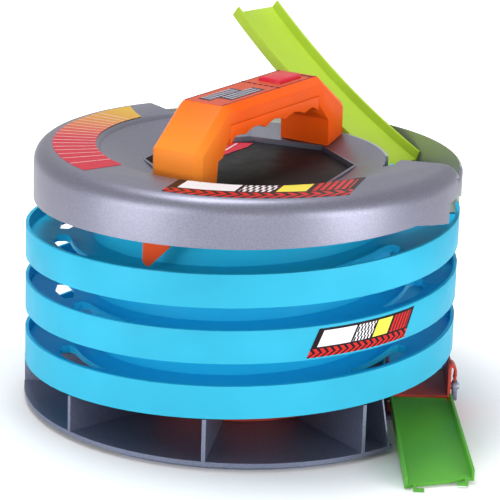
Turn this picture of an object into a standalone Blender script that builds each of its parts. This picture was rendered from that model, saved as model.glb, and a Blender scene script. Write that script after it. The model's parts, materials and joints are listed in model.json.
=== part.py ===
"""Carry-along spiral toy garage: a three-turn track round a core, on a base with parking bays,
under a cover with a carrying handle, a launch ramp on top and an exit ramp at the foot.

Metres, +Z up. The origin is on the tower's axis, on the surface the garage stands on. -Y is the front.
Sizes below are in millimetres and are turned into metres where a shape is made.
Angles are in degrees, counted from +X, anticlockwise seen from above.
"""

import math

import bmesh
import bpy
from mathutils import Matrix, Vector

MM = 0.001
GAP = 0.3                    # clearance between pieces that touch
FRONT = -90.0                # angle of the front

# Spiral track, made as three equal one-turn tiers
TRACK_OUTER_R = 139.4        # outside of the outer wall
TRACK_INNER_R = 96.0         # track side of the inner wall
TRACK_WALL = 2.2
TRACK_DECK = 2.2
TRACK_PITCH = 35.0           # fall per turn
TRACK_FOOT = 12.0            # level of the deck's helix at the front, a turn below the lower tier
TIERS = 3
DECK_AT_FRONT = TRACK_FOOT + TIERS * TRACK_PITCH    # top of the upper tier's deck at the front
KERB = 8.0                   # outer wall above the deck
SKIRT = 12.7                 # outer wall below the deck's top
LANE = TRACK_OUTER_R - TRACK_WALL - TRACK_INNER_R
LANE_MIDDLE = TRACK_INNER_R + LANE / 2
SEAM_ANGLE = 2.0             # where each tier starts and ends
REAR_SEAM = -207.0           # where its front and rear pieces meet
SEAM_GAP = 0.25              # half the gap at a seam, in degrees
TURN_STEPS = 72

# Leaf-shaped openings in the decks, with a raised lip on their inner side and round their back end
SLOT_LENGTH = 25.0           # degrees
SLOT_SHAPE = (               # share of the length from the front end, and both edges from the lane's middle
    (0.0, -1.0, -0.4),
    (0.15, -1.4, 2.0),
    (0.35, -2.0, 4.8),
    (0.6, -3.2, 6.4),
    (0.8, -4.4, 6.3),
    (0.93, -4.2, 5.2),
    (1.0, -2.2, 3.0),
)
SLOT_BACKS = (               # back end of each leaf, and the way to its front end
    ((-169.5, 1), (-35.5, -1)),
    ((-149.8, 1), (-14.8, -1)),
    ((-160.8, 1), (-28.3, -1)),
)
LIP_WIDTH = 2.0
LIP_RISE = 2.6
LIP_START = 0.4              # rise at the front end
LIP_ROOT = 1.5               # how far it reaches down into the deck
# Blunt six-sided openings near the left side: degrees back from the front edge, and offset from the middle
HATCH_SHAPE = ((0, 2.4), (0, -4.1), (10, -8.0), (20, -4.1), (20, 2.4), (10, 4.4))
HATCH_FRONTS = (-182.5, -160.0, None)

# Core drum inside the spiral
CORE_R = 69.5
CORE_WALL = 3.0
BOSS_R = 5.0
BOSS_INSET = 7.0
BOSS_ORBIT_R = CORE_R - BOSS_INSET
BOSS_ANGLES = (45.0, 135.0, 225.0, 315.0)
BOSS_HEIGHT = 22.0
BOSS_BORE = 18.0
SCREW_HEAD_R = 3.2
SCREW_HEAD = 2.0
SCREW_R = 1.5
SCREW_HOLE_R = 1.9
SCREW_LENGTH = 16.0

# Base with parking bays
BASE_LIP = 0.6               # how far it stands out past the track
BASE_R = TRACK_OUTER_R + BASE_LIP
BASE_TOP = 6.0
BASE_PLATE = 2.8
BAY_WALL = 2.5
BAY_WALL_INSET = 1.5         # between the core and the walls
BAY_WALL_SETBACK = 0.2
BAY_WALL_GAP = 0.5           # between the walls and the track above
END_WALL = 1.2               # thinner wall at the right end of the bays
END_WALL_LEAN = 7.7          # its outer edge leans in by this towards the top
BAY_ANGLES = (-47.5, -56.0, -98.0, -138.0, -179.0, 140.0)
FOOT_RAIL_INSET = 5.5
FOOT_RAIL_OUTER_R = BASE_R - FOOT_RAIL_INSET
FOOT_RAIL_WIDTH = 4.0
FOOT_RAIL_SPAN = 63.0
FOOT_RAIL_ANGLES = (-90.0, 30.0, 150.0)
HUB_INSET = 1.5
HUB_R = CORE_R - HUB_INSET   # flat pad round the axis that stands on the table
POCKET_ROOM = 0.6            # round a screw's head and above it
NOTCH_SETBACK = 1.4          # the tray is cut away where the exit ramp lies
NOTCH_MARGIN = 1.0
NOTCH_REACH = 10.8
NOTCH_FRONT = -50.0
NOTCH_BACK = -8.0

# Cover, centred a little to the right of the track
COVER_X = 3.6
COVER_SETBACK = 1.4
COVER_R = TRACK_OUTER_R - COVER_SETBACK
COVER_WALL = 2.0
COVER_RISE = 52.0
COVER_TOP = DECK_AT_FRONT + COVER_RISE
SHOULDER_R = 11.0            # rounding at the cover's edge
FLAT_INNER_R = TRACK_INNER_R + 2.5
FUNNEL_EDGE = 3.0            # width of the step from the flat into the funnel
FUNNEL_OUTER_R = FLAT_INNER_R - FUNNEL_EDGE
FUNNEL_INNER_R = CORE_R - 7.5
FUNNEL_DEPTH = 13.2
FUNNEL_LOW = COVER_TOP - FUNNEL_DEPTH    # top of the funnel at its inner radius
FUNNEL_RISE = 10.05
FUNNEL_SLOPE = FUNNEL_RISE / (FUNNEL_OUTER_R - FUNNEL_INNER_R)
COVER_LOW = DECK_AT_FRONT + 9.0
SHELL_FROM = COVER_R - 28.0  # outside this radius the shell is a little smaller, and so further left
SHELL_IN = 0.9
RIM_PROFILE = (              # angle of the cover's lower rim, and its height over the deck at the front
    (-240.0, 12.5),
    (-160.0, 18.0),
    (-150.0, 19.0),
    (-130.0, 20.5),
    (-110.0, 21.7),
    (-90.0, 22.8),
    (-70.0, 24.5),
    (-50.0, 26.4),
    (-41.0, 27.3),
    (-23.5, 19.3),
    (-23.4, 32.0),
    (-2.0, 32.0),
)
RIM_STEP = 6.0
COVER_START = -16.0
COVER_END = 122.0
COVER_STEPS = 56
SLIDE_END = -5.0             # the plateau runs down to here, towards the channel
SLIDE_DROP = 13.0
SLIDE_STEP = 1.25
SLIDE_LAP = 1.4              # how far it reaches into the plateau
SLIDE_INNER_R = FLAT_INNER_R + 0.5
OVERLAP = 0.06               # sinks a joined shape under its neighbour's skin
RECESS_INSET = 2.5
RECESS_R = CORE_R - RECESS_INSET     # corner radius of the octagonal recess
RECESS_DEPTH = 3.2
RECESS_FLOOR = FUNNEL_LOW - RECESS_DEPTH
RECESS_WALL = 2.0
RECESS_LEDGE = 7.0
PANEL = 1.6

# Open channel behind the cover, where a car lands and rolls to the upper tier
CHANNEL_INNER_R = TRACK_INNER_R - 8.9
FUNNEL_REAR_R = CHANNEL_INNER_R - GAP
CHANNEL_WALL = 2.0
CHANNEL_INNER_TOP = COVER_TOP - 6.0
CHANNEL_INNER_LOW = DECK_AT_FRONT + 2.0
CHANNEL_RIM = COVER_TOP - 7.5
CHANNEL_LOW = DECK_AT_FRONT - 7.0
CHANNEL_START = -4.6
LEAD_LOW = DECK_AT_FRONT + 25.0      # underside of the channel's wall beside the upper tier's first part
SHELF_START = 72.0
SHELF_DROP = 9.5
SHELF_TOP = COVER_TOP - SHELF_DROP
SHELF = 2.0
LANDING_DROP = 25.1
LANDING_TOP = COVER_TOP - LANDING_DROP   # upper end of the landing deck
LANDING_ANGLE = 37.5

# Handle: an arch over the funnel
HANDLE_TURN = 57.3
HANDLE_RISE = 37.3
HANDLE_TOP = COVER_TOP + HANDLE_RISE
HANDLE_INSET = 0.8
HANDLE_HALF = FUNNEL_REAR_R - HANDLE_INSET
HANDLE_SLANT = 30.4
HANDLE_TOP_HALF = HANDLE_HALF - HANDLE_SLANT     # half length of the flat top
SHOULDER_DROP = 24.5
HANDLE_SHOULDER = HANDLE_TOP - SHOULDER_DROP
RIGHT_LEAN = 1.8             # the right leg leans out a little more
HANDLE_RIGHT_HALF = HANDLE_HALF + RIGHT_LEAN
HANDLE_RIGHT_SHOULDER = HANDLE_SHOULDER + RIGHT_LEAN
HANDLE_HALF_WIDTH = 18.5
HANDLE_CHAMFER = 4.1
LEG_INNER = 66.0
FOOT_LIFT = 0.9              # how high the outer end of a leg stands over the funnel
UNDERSIDE = (                # scalloped underside: along the handle from the right leg, and depth below its top
    (65.5, 30.4), (56.0, 24.8), (50.0, 20.5), (45.6, 18.3), (40.5, 18.7), (35.4, 20.4), (30.0, 18.4),
    (23.1, 17.3), (17.0, 18.3), (12.1, 20.1), (6.0, 18.2), (-0.8, 17.3), (-6.5, 18.7), (-10.8, 20.7),
    (-16.0, 18.7), (-23.2, 17.7), (-29.5, 19.0), (-34.5, 20.9), (-40.0, 19.9), (-45.9, 20.1),
    (-50.5, 23.8), (-55.6, 28.5), (-60.0, 31.1), (-64.6, 32.3),
)
GRIP_DEPTH = 11.8
GRIP_TOP = HANDLE_TOP - GRIP_DEPTH   # parting line between the frame and the grip piece
GRIP_LEFT = -52.0
GRIP_RIGHT = 52.6
GRIP_INSET = 0.05            # the grip piece stands back by this on both sides
HANDLE_SCREW = 15.0
SCREW_BORE_TOP = HANDLE_SHOULDER - 3.8
SCREW_BORE_START = FUNNEL_LOW - 6.0
ROOM_LEFT = -44.0            # room for the sound unit inside the handle
ROOM_RIGHT = 50.0
ROOM_HALF_WIDTH = 13.0
ROOM_ROOF = 2.5              # wall above it

# Push button on the handle
BUTTON_LENGTH = 26.0
BUTTON_WIDTH = 17.0
BUTTON_AT = 33.0             # centre of the button along the handle
BUTTON_RISE = 2.6
BUTTON_SKIRT = 4.5           # how far the cap reaches below the handle's top
BUTTON_EDGE = 1.6
FLANGE_REACH = 1.4
FLANGE_LOW = 4.6
FLANGE_HIGH = 2.5
SPRING_SEAT_R = 2.6
SPRING_SEAT_TOP = 3.4        # roof of the seat, below the handle's top
SPRING_R = 2.0
SPRING_WIRE_R = 0.35
SPRING_TURNS = 4
SPRING_POINTS = 9            # in each turn
BOARD = 1.6
BOARD_HALF_WIDTH = 12.4
BOARD_INSET = 1.5
SPEAKER = ((0, 0), (9.5, 0), (9.5, 3.2), (8.2, 4.2), (3.0, 2.2), (0, 2.8))
CELL_R = 5.8
CELL = 5.4
CELL_FIRST = -17.5
CELL_STEP = -12.0

# Launch ramp
RAMP_TURN = -44.0            # direction in which a car runs down it
RAMP_WIDTH = LANE - 1.2
RAMP_CLEARANCE = 0.8         # beside the channel's inner wall
RAMP_INNER_SIDE = CHANNEL_INNER_R + CHANNEL_WALL + RAMP_CLEARANCE
RAMP_OFFSET = RAMP_INNER_SIDE + RAMP_WIDTH / 2      # distance of its middle line from the cover's axis
RAMP_FLOOR = 1.8
RAMP_KERB = 6.0
RAMP_SIDE = 1.7
RAMP_STEP = 0.6              # from its lower end down to the landing deck
RAMP_END_TOP = LANDING_TOP + RAMP_STEP
RAMP_END_SLOPE = 23.0
RAMP_TOP_SLOPE = 39.0
RAMP_BEND_R = 574.0
RAMP_END_AT = -31.0          # lower end, along the ramp from the nearest point to the cover's axis
RAMP_PIN_RUN = 31.0          # pin, measured back from the lower end
RAMP_PIN_R = 1.5
RAMP_PIN_DROP = 4.0
PIN_PLAY = 0.25              # round a pin that turns
EAR_INSET = 4.0              # the two ears under the ramp: middle of each from the ramp's side
EAR_HALF = 2.0
EAR_HALF_LENGTH = 3.4
EAR_LOW = 3.2

# Start gate under the cover
GATE_ANGLE = -115.76
GATE_R = LANE_MIDDLE - 5.0
GATE_TURN = -17.0
GATE_THICK = 2.2
GATE_CLEARANCE = 2.0         # over the deck
GATE_FIN = ((-11.5, 2.5), (-9.5, 0.0), (-7.0, 0.0), (5.5, 13.0), (6.5, 20.0))   # along the fin, and height
GATE_POST = 12.0             # how far the post reaches down into the fin
GATE_HEAD = 1.8
GATE_HEAD_RIM = 0.9
GATE_COLLAR = 2.0
GATE_COLLAR_RIM = 2.4
GATE_PIVOT_R = 2.2
GATE_SLEEVE = 7.0
SLEEVE_WALL = 1.8

# Exit at the foot of the spiral
EXIT_LEFT = TRACK_INNER_R + 0.8
EXIT_RIGHT = TRACK_OUTER_R - 3.0
EXIT_MOUTH = -46.0
EXIT_MOUTH_TOP = 18.3
EXIT_WALL = 2.0
EXIT_KERB = 8.0
EXIT_GUARD = 21.0            # height of the right wall above the floor near the mouth
CHUTE_START = 3.0
CHUTE_STEP = 0.6             # from the lower tier's deck down to the chute
CHUTE_LIP = 2.2              # the chute's floor stops this far before the mouth
CHUTE_CORNER = 2.0
GUARD_LOW_END = 20.0         # the right wall is low until this far behind the lever, and high from there
GUARD_HIGH_END = 14.0
EXIT_PIN_Y = -47.0
EXIT_PIN_DROP = 3.3
EXIT_PIN_R = 1.2
EXIT_LUG_R = 3.0
EXIT_BARREL_R = 2.8
EXIT_RAMP_FLOOR = 2.0
EXIT_RAMP_SLOPE = 7.75
EXIT_RAMP_TIP = 111.0        # plan length from the pin to the far corner
EXIT_RAMP_SKEW = 11.5        # how much shorter the ramp is on its right side
EXIT_RAMP_LEFT_DRIFT = 4.6
EXIT_RAMP_RIGHT_DRIFT = 7.5
EXIT_RAMP_KERB = 5.5
EXIT_RAMP_SIDE = 1.7
TONGUE_LENGTH = 7.5
TONGUE_PLAY = 0.6            # between the tongue and the chute's lugs
TIP_HOOKS = ((6.0, 1.5), (5.0, -1.2))    # the hooks at the tip: in from each side, and back from its corner
TIP_STEM_HALF = 0.9
TIP_STEM = (-5.6, 4.0)
TIP_TOE = (-5.7, -3.7)
TIP_TOE_REACH = 5.5
LEVER_Y = -38.0
LEVER_Z = 23.4
LEVER_THICK = 3.0
LEVER_HALF = 4.0
LEVER_DROP = 6.0
LEVER_PIN_R = 1.2
LEVER_HUB = 1.1              # length of the hub that keeps the lever off the wall
LEVER_HUB_RIM = 1.3
LEVER_PLAY = 0.2
LEVER_HEAD = 1.0
PRESS_GAP = 0.05             # round a pin that is pressed in
BLIND_END = 0.6              # wall left behind the lever's pin
HOOK_HALF = 4.5              # the guard that curls over the lever: half its length, and its outline
HOOK = (
    (-0.2, 16.2), (1.2, 15.8), (2.6, 14.2), (3.5, 11.8), (3.7, 8.6), (3.2, 4.7),
    (1.8, 4.7), (2.2, 8.6), (2.0, 11.2), (1.3, 13.0), (-0.2, 13.8),
)

COLOURS = {
    "track": ((0.10, 0.55, 0.83, 1), 0.35, 0.0),
    "silver": ((0.46, 0.46, 0.50, 1), 0.28, 0.6),
    "base": ((0.42, 0.43, 0.46, 1), 0.45, 0.3),
    "orange": ((0.95, 0.20, 0.03, 1), 0.40, 0.0),
    "red": ((0.75, 0.03, 0.07, 1), 0.35, 0.0),
    "green": ((0.42, 0.72, 0.09, 1), 0.35, 0.0),
    "dark": ((0.03, 0.03, 0.04, 1), 0.55, 0.0),
    "steel": ((0.60, 0.60, 0.62, 1), 0.30, 1.0),
    "board": ((0.03, 0.22, 0.10, 1), 0.55, 0.0),
}


def clear_scene():
    for obj in list(bpy.data.objects):
        bpy.data.objects.remove(obj, do_unlink=True)


clear_scene()
PARTS = bpy.data.collections.new("spiral_garage")
CUTTERS = bpy.data.collections.new("cutters")
bpy.context.scene.collection.children.link(PARTS)
bpy.context.scene.collection.children.link(CUTTERS)


def material(name):
    found = bpy.data.materials.get(name)
    if found:
        return found
    made = bpy.data.materials.new(name)
    made.use_nodes = True
    colour, roughness, metallic = COLOURS[name]
    shader = made.node_tree.nodes["Principled BSDF"]
    shader.inputs["Base Color"].default_value = colour
    shader.inputs["Roughness"].default_value = roughness
    shader.inputs["Metallic"].default_value = metallic
    return made


def add(name, bm, colour, place=None):
    """An object from a bmesh in millimetres. A colour of None makes it a helper for Booleans."""
    bmesh.ops.remove_doubles(bm, verts=bm.verts, dist=1e-5)
    bmesh.ops.recalc_face_normals(bm, faces=bm.faces)
    if bm.calc_volume(signed=True) < 0:
        bmesh.ops.reverse_faces(bm, faces=bm.faces)
    bmesh.ops.scale(bm, vec=(MM, MM, MM), verts=bm.verts)
    mesh = bpy.data.meshes.new(name)
    bm.to_mesh(mesh)
    bm.free()
    obj = bpy.data.objects.new(name, mesh)
    if place is not None:
        obj.matrix_world = place
    if colour is None:
        obj.hide_render = True
        obj.display_type = "WIRE"
        CUTTERS.objects.link(obj)
    else:
        mesh.materials.append(material(colour))
        mesh.shade_smooth()
        mesh.set_sharp_from_angle(angle=math.radians(32))
        PARTS.objects.link(obj)
    return obj


def boolean(obj, other, operation):
    modifier = obj.modifiers.new(f"{operation.lower()} {other.name}", "BOOLEAN")
    modifier.operation = operation
    modifier.object = other
    modifier.solver = "EXACT"


def join(obj, *others):
    for other in others:
        boolean(obj, other, "UNION")


def cut(obj, *others):
    for other in others:
        boolean(obj, other, "DIFFERENCE")


def at(x=0.0, y=0.0, z=0.0, turn=0.0):
    """A place in millimetres, turned about the vertical."""
    return Matrix.Translation((x * MM, y * MM, z * MM)) @ Matrix.Rotation(math.radians(turn), 4, "Z")


def polar(radius, angle):
    return radius * math.cos(math.radians(angle)), radius * math.sin(math.radians(angle))


def arc(centre_r, centre_z, radius, start, end, steps):
    """Points on an arc in the (r, z) plane."""
    points = []
    for i in range(steps + 1):
        a = math.radians(start + (end - start) * i / steps)
        points.append((centre_r + radius * math.cos(a), centre_z + radius * math.sin(a)))
    return points


def swept(outline, start, sweep, rise=0.0, steps=None):
    """A solid made by turning a flat (r, z) outline about the vertical axis, with a rise if it is a helix."""
    steps = steps or max(2, round(abs(sweep) * TURN_STEPS / 360))
    bm = bmesh.new()
    turn = Matrix.Rotation(math.radians(start), 3, "Z")
    verts = [bm.verts.new(turn @ Vector((r, 0, z))) for r, z in outline]
    face = bm.faces.new(verts)
    bmesh.ops.spin(
        bm,
        geom=[face, *face.edges, *face.verts],
        cent=(0, 0, 0),
        axis=(0, 0, 1),
        dvec=(0, 0, rise / steps),
        angle=math.radians(sweep),
        steps=steps,
        use_duplicate=False,
    )
    return bm


def turned(outline, steps):
    """A closed ring or a solid of revolution from a closed (r, z) outline that may touch the axis."""
    bm = bmesh.new()
    verts = [bm.verts.new((r, 0, z)) for r, z in outline]
    edges = []
    for i, vert in enumerate(verts):
        other = verts[(i + 1) % len(verts)]
        if max(vert.co.x, other.co.x) > 0:
            edges.append(bm.edges.new((vert, other)))
    bmesh.ops.spin(
        bm,
        geom=[*verts, *edges],
        cent=(0, 0, 0),
        axis=(0, 0, 1),
        angle=math.tau,
        steps=steps,
        use_merge=True,
        use_duplicate=False,
    )
    bmesh.ops.remove_doubles(bm, verts=bm.verts, dist=1e-4)
    bmesh.ops.dissolve_degenerate(bm, dist=1e-5, edges=bm.edges)
    return bm


def prism(points, low, high):
    """An upright prism on a flat (x, y) outline."""
    bm = bmesh.new()
    face = bm.faces.new([bm.verts.new((x, y, low)) for x, y in points])
    grown = bmesh.ops.extrude_face_region(bm, geom=[face])
    lifted = [v for v in grown["geom"] if isinstance(v, bmesh.types.BMVert)]
    bmesh.ops.translate(bm, vec=(0, 0, high - low), verts=lifted)
    return bm


def box(low, high):
    bm = bmesh.new()
    size = [b - a for a, b in zip(low, high)]
    middle = [(a + b) / 2 for a, b in zip(low, high)]
    bmesh.ops.create_cube(bm, size=1)
    bmesh.ops.scale(bm, vec=size, verts=bm.verts)
    bmesh.ops.translate(bm, vec=middle, verts=bm.verts)
    return bm


def rod(radius, low, high, segments=20):
    bm = bmesh.new()
    bmesh.ops.create_cone(
        bm, cap_ends=True, segments=segments, radius1=radius, radius2=radius, depth=high - low
    )
    bmesh.ops.translate(bm, vec=(0, 0, (low + high) / 2), verts=bm.verts)
    return bm


def moved(bm, matrix):
    """The same shape placed by a matrix whose shift is in millimetres."""
    bmesh.ops.transform(bm, matrix=matrix, verts=bm.verts)
    return bm


def shift(x=0.0, y=0.0, z=0.0, turn=0.0):
    return Matrix.Translation((x, y, z)) @ Matrix.Rotation(math.radians(turn), 4, "Z")


def deck_top(angle, turn=0):
    """Height of the track's deck at an angle from -90-360 to +90, on the given turn below the upper one."""
    return DECK_AT_FRONT + TRACK_PITCH * ((angle - FRONT) / 360 - turn)


def screw(name, place, length=SCREW_LENGTH):
    """A round-head screw that points up from its head."""
    outline = [
        (0, 0),
        (SCREW_HEAD_R, 0),
        (SCREW_HEAD_R, SCREW_HEAD),
        (SCREW_R, SCREW_HEAD),
        (SCREW_R, length),
        (0, length),
    ]
    return add(name, turned(outline, 16), "steel", place)


def loft(rows):
    """A solid through a row of outlines with the same number of points, closed at both ends."""
    bm = bmesh.new()
    rings = [[bm.verts.new(point) for point in row] for row in rows]
    for near, far in zip(rings, rings[1:]):
        for i in range(len(near)):
            j = (i + 1) % len(near)
            bm.faces.new((near[i], near[j], far[j], far[i]))
    bm.faces.new(rings[0])
    bm.faces.new(rings[-1])
    return bm


def tier_outline():
    inner_face = TRACK_INNER_R - TRACK_WALL
    wall_face = TRACK_OUTER_R - TRACK_WALL
    wall_top = TRACK_PITCH - TRACK_DECK - GAP
    return [
        (TRACK_OUTER_R, -SKIRT),
        (TRACK_OUTER_R, KERB),
        (wall_face, KERB),
        (wall_face, 0),
        (TRACK_INNER_R, 0),
        (TRACK_INNER_R, wall_top),
        (inner_face, wall_top),
        (inner_face, -TRACK_DECK),
        (wall_face, -TRACK_DECK),
        (wall_face, -SKIRT),
    ]


def slot_angle(back, way, share):
    return back + way * SLOT_LENGTH * (1 - share)


def leaf(back, way):
    """Plan outline of a leaf-shaped opening."""
    inner = [polar(LANE_MIDDLE + low, slot_angle(back, way, share)) for share, low, _ in SLOT_SHAPE]
    outer = [polar(LANE_MIDDLE + high, slot_angle(back, way, share)) for share, _, high in SLOT_SHAPE]
    return inner + outer[::-1]


def slot_lip(name, back, way, turn):
    """The raised lip of an opening: it grows along the inner edge and curls round the back end."""
    stations = []
    for share, low, _ in SLOT_SHAPE[:-2]:
        stations.append((share, low, 1.0, 0.0))
    stations.append((SLOT_SHAPE[-2][0], SLOT_SHAPE[-2][1], 0.8, 0.6))
    stations.append((1.0, SLOT_SHAPE[-1][1], 0.2, 1.0))
    stations.append((1.0, (SLOT_SHAPE[-1][1] + SLOT_SHAPE[-1][2]) / 2, 0.0, 1.0))
    stations.append((1.0, SLOT_SHAPE[-1][2], -0.2, 1.0))
    rows = []
    for share, offset, inward, backward in stations:
        radius = LANE_MIDDLE + offset
        rise = LIP_START + (LIP_RISE - LIP_START) * share
        angle = slot_angle(back, way, share)
        level = deck_top(angle, turn)
        row = []
        for reach, height in ((-0.3, -LIP_ROOT), (-0.3, rise), (0.5, rise), (1.0, 0.1), (1.0, -LIP_ROOT)):
            off = LIP_WIDTH * reach
            x, y = polar(radius - off * inward, angle - way * math.degrees(off * backward / radius))
            row.append((x, y, level + height))
        rows.append(row)
    return add(name, loft(rows), None)


def hatch(front):
    """Plan outline of a blunt six-sided opening."""
    return [polar(LANE_MIDDLE + offset, front - back) for back, offset in HATCH_SHAPE]


def track_tiers():
    for k, level in enumerate(("upper", "middle", "lower")):
        for part, first, last in (("front", SEAM_ANGLE, REAR_SEAM), ("rear", REAR_SEAM, SEAM_ANGLE - 360)):
            start = first - SEAM_GAP
            sweep = first - last - 2 * SEAM_GAP
            top = deck_top(start, k)
            fall = -TRACK_PITCH * sweep / 360
            steps = round(sweep * TURN_STEPS / 360)
            bm = swept([(r, z + top) for r, z in tier_outline()], start, -sweep, fall, steps)
            tier = add(f"track_{level}_{part}", bm, "track")
            if part == "front":
                tier_openings(tier, k)


def tier_openings(tier, turn):
    for j, (back, way) in enumerate(SLOT_BACKS[turn]):
        join(tier, slot_lip(f"lip_{turn}_{j}", back, way, turn))
    for j, (back, way) in enumerate(SLOT_BACKS[turn]):
        deck = deck_top(slot_angle(back, way, 0.5), turn)
        cut(tier, add(f"slot_{turn}_{j}", prism(leaf(back, way), deck - KERB, deck + KERB), None))
    front = HATCH_FRONTS[turn]
    if front is not None:
        deck = deck_top(front, turn)
        cut(tier, add(f"hatch_{turn}", prism(hatch(front), deck - KERB, deck + KERB), None))


def base_tray():
    low = BASE_TOP - BASE_PLATE
    tray = add("base_tray", rod(BASE_R, low, BASE_TOP, 90), "base")
    notch_edge = EXIT_LEFT - NOTCH_MARGIN
    notch_inner_r = EXIT_LEFT - NOTCH_REACH
    near_wall = BAY_ANGLES[0] + NOTCH_SETBACK
    notch = [
        polar(notch_inner_r, near_wall),
        polar(BASE_R * 1.6, near_wall),
        (BASE_R * 1.3, NOTCH_FRONT),
        (notch_edge, NOTCH_FRONT),
        (notch_edge, NOTCH_BACK),
        (notch_inner_r, NOTCH_BACK),
    ]
    join(tray, add("base_hub", rod(HUB_R, 0, low + 0.5, 60), None))
    cut_notch = add("base_notch", prism(notch, -1, BASE_TOP + 2), None)
    for i, angle in enumerate(FOOT_RAIL_ANGLES):
        outline = [
            (FOOT_RAIL_OUTER_R - FOOT_RAIL_WIDTH, 0),
            (FOOT_RAIL_OUTER_R, 0),
            (FOOT_RAIL_OUTER_R, low + 0.5),
            (FOOT_RAIL_OUTER_R - FOOT_RAIL_WIDTH, low + 0.5),
        ]
        rail = swept(outline, angle - FOOT_RAIL_SPAN / 2, FOOT_RAIL_SPAN)
        join(tray, add(f"foot_rail_{i}", rail, None))
    cut(tray, cut_notch)
    for i, angle in enumerate(BAY_ANGLES):
        turn_angle = angle if angle < 90 else angle - 360
        top = deck_top(turn_angle, TIERS - 1) - SKIRT - BAY_WALL_GAP
        inner = CORE_R + BAY_WALL_INSET
        outer = BASE_R - BAY_WALL_SETBACK
        lean = BASE_R - END_WALL_LEAN if i == 0 else outer
        thick = END_WALL if i == 0 else BAY_WALL
        points = [
            (inner, BASE_TOP - 1),
            (outer, BASE_TOP - 1),
            (outer, BASE_TOP),
            (lean, top),
            (inner, top),
        ]
        wall = side_solid(points, thick / 2)
        join(tray, add(f"bay_wall_{i}", moved(wall, shift(turn=angle)), None))
    for i, angle in enumerate(BOSS_ANGLES):
        x, y = polar(BOSS_ORBIT_R, angle)
        cut(tray, add(f"base_hole_{i}", rod(SCREW_HOLE_R, -1, BASE_TOP + 1, 16), None, at(x, y)))
        pocket = rod(SCREW_HEAD_R + POCKET_ROOM, -1, low + POCKET_ROOM, 16)
        cut(tray, add(f"base_pocket_{i}", pocket, None, at(x, y)))
        screw(f"base_screw_{i + 1}", at(x, y, low + POCKET_ROOM - SCREW_HEAD - 0.1))
    return tray


def core_drum():
    low = BASE_TOP + GAP
    high = RECESS_FLOOR - RECESS_WALL - GAP
    outline = [(CORE_R - CORE_WALL, low), (CORE_R, low), (CORE_R, high), (CORE_R - CORE_WALL, high)]
    core = add("core_drum", turned(outline, 60), "orange")
    for i, angle in enumerate(BOSS_ANGLES):
        x, y = polar(BOSS_ORBIT_R, angle)
        join(core, add(f"boss_{i}", rod(BOSS_R, low, low + BOSS_HEIGHT, 20), None, at(x, y)))
    for i, angle in enumerate(BOSS_ANGLES):
        x, y = polar(BOSS_ORBIT_R, angle)
        bore = rod(SCREW_HOLE_R, low - 1, low + BOSS_BORE, 16)
        cut(core, add(f"boss_bore_{i}", bore, None, at(x, y)))
    return core


def funnel_z(radius):
    return FUNNEL_LOW + FUNNEL_SLOPE * (radius - FUNNEL_INNER_R)


def octagon(radius):
    return [polar(radius, 45 * i) for i in range(8)]


def eased(bm):
    """Draws the outer shell in, so that its right side lies closer and its left side stays."""
    for vert in bm.verts:
        radius = math.hypot(vert.co.x, vert.co.y)
        if radius > SHELL_FROM:
            share = (radius - SHELL_IN) / radius
            vert.co.x = vert.co.x * share - SHELL_IN
            vert.co.y = vert.co.y * share
    return bm


def rim_height(angle):
    """Height of the cover's lower rim at an angle about the shell's axis."""
    for (a, low), (b, high) in zip(RIM_PROFILE, RIM_PROFILE[1:]):
        if a <= angle <= b:
            return DECK_AT_FRONT + low + (high - low) * (angle - a) / (b - a)
    return DECK_AT_FRONT + RIM_PROFILE[-1][1]


def rim_cutter():
    first, last = RIM_PROFILE[0][0], RIM_PROFILE[-1][0]
    angles = {first + RIM_STEP * i for i in range(math.ceil((last - first) / RIM_STEP))}
    angles |= {a for a, _ in RIM_PROFILE}
    rows = []
    for angle in sorted(angles):
        near = polar(COVER_R - 2 * SHOULDER_R, angle)
        far = polar(COVER_R + SHOULDER_R, angle)
        level = rim_height(angle)
        rows.append([(*near, 0), (*far, 0), (*far, level), (*near, level)])
    return loft(rows)


def slide_drop(angle):
    """How far the plateau's end has sunk at an angle past the cover's start."""
    share = min(1.0, max(0.0, (angle - COVER_START) / (SLIDE_END - COVER_START)))
    return SLIDE_DROP * share * share * (3 - 2 * share)


def slide_angles():
    count = round((SLIDE_END - COVER_START) / SLIDE_STEP) + 1
    start = COVER_START - SLIDE_LAP
    return [start + (SLIDE_END - start) * i / count for i in range(count + 1)]


def slide_rows():
    """The plateau's end, sinking towards the channel."""
    edge_r = COVER_R - SHOULDER_R
    rows = []
    for angle in slide_angles():
        level = COVER_TOP - OVERLAP - slide_drop(angle)
        profile = [(SLIDE_INNER_R, level), (edge_r, level)]
        for share in (0.32, 0.59, 0.8, 0.91):
            reach = SHOULDER_R * share
            sink = SHOULDER_R - math.sqrt(SHOULDER_R**2 - reach**2)
            profile.append((edge_r + reach, level - sink))
        under = [(r, z - COVER_WALL) for r, z in profile[::-1]]
        rows.append([(*polar(r, angle), z) for r, z in profile + under])
    return rows


def slide_wall_rows():
    """The outer wall beside the slide: it rises from the rounded shoulder to the channel's rim."""
    rows = []
    start = COVER_TOP - SHOULDER_R - 0.5
    for angle in slide_angles():
        share = min(1.0, max(0.0, (angle - COVER_START) / (SLIDE_END - COVER_START)))
        high = start + (CHANNEL_RIM - start) * share
        inner = COVER_R - COVER_WALL + OVERLAP
        outer = COVER_R - OVERLAP
        outline = [(inner, COVER_LOW), (outer, COVER_LOW)]
        outline += [(outer, high - 1.5), (outer - 0.8, high), (inner, high)]
        rows.append([(*polar(r, angle), z) for r, z in outline])
    return rows


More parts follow.
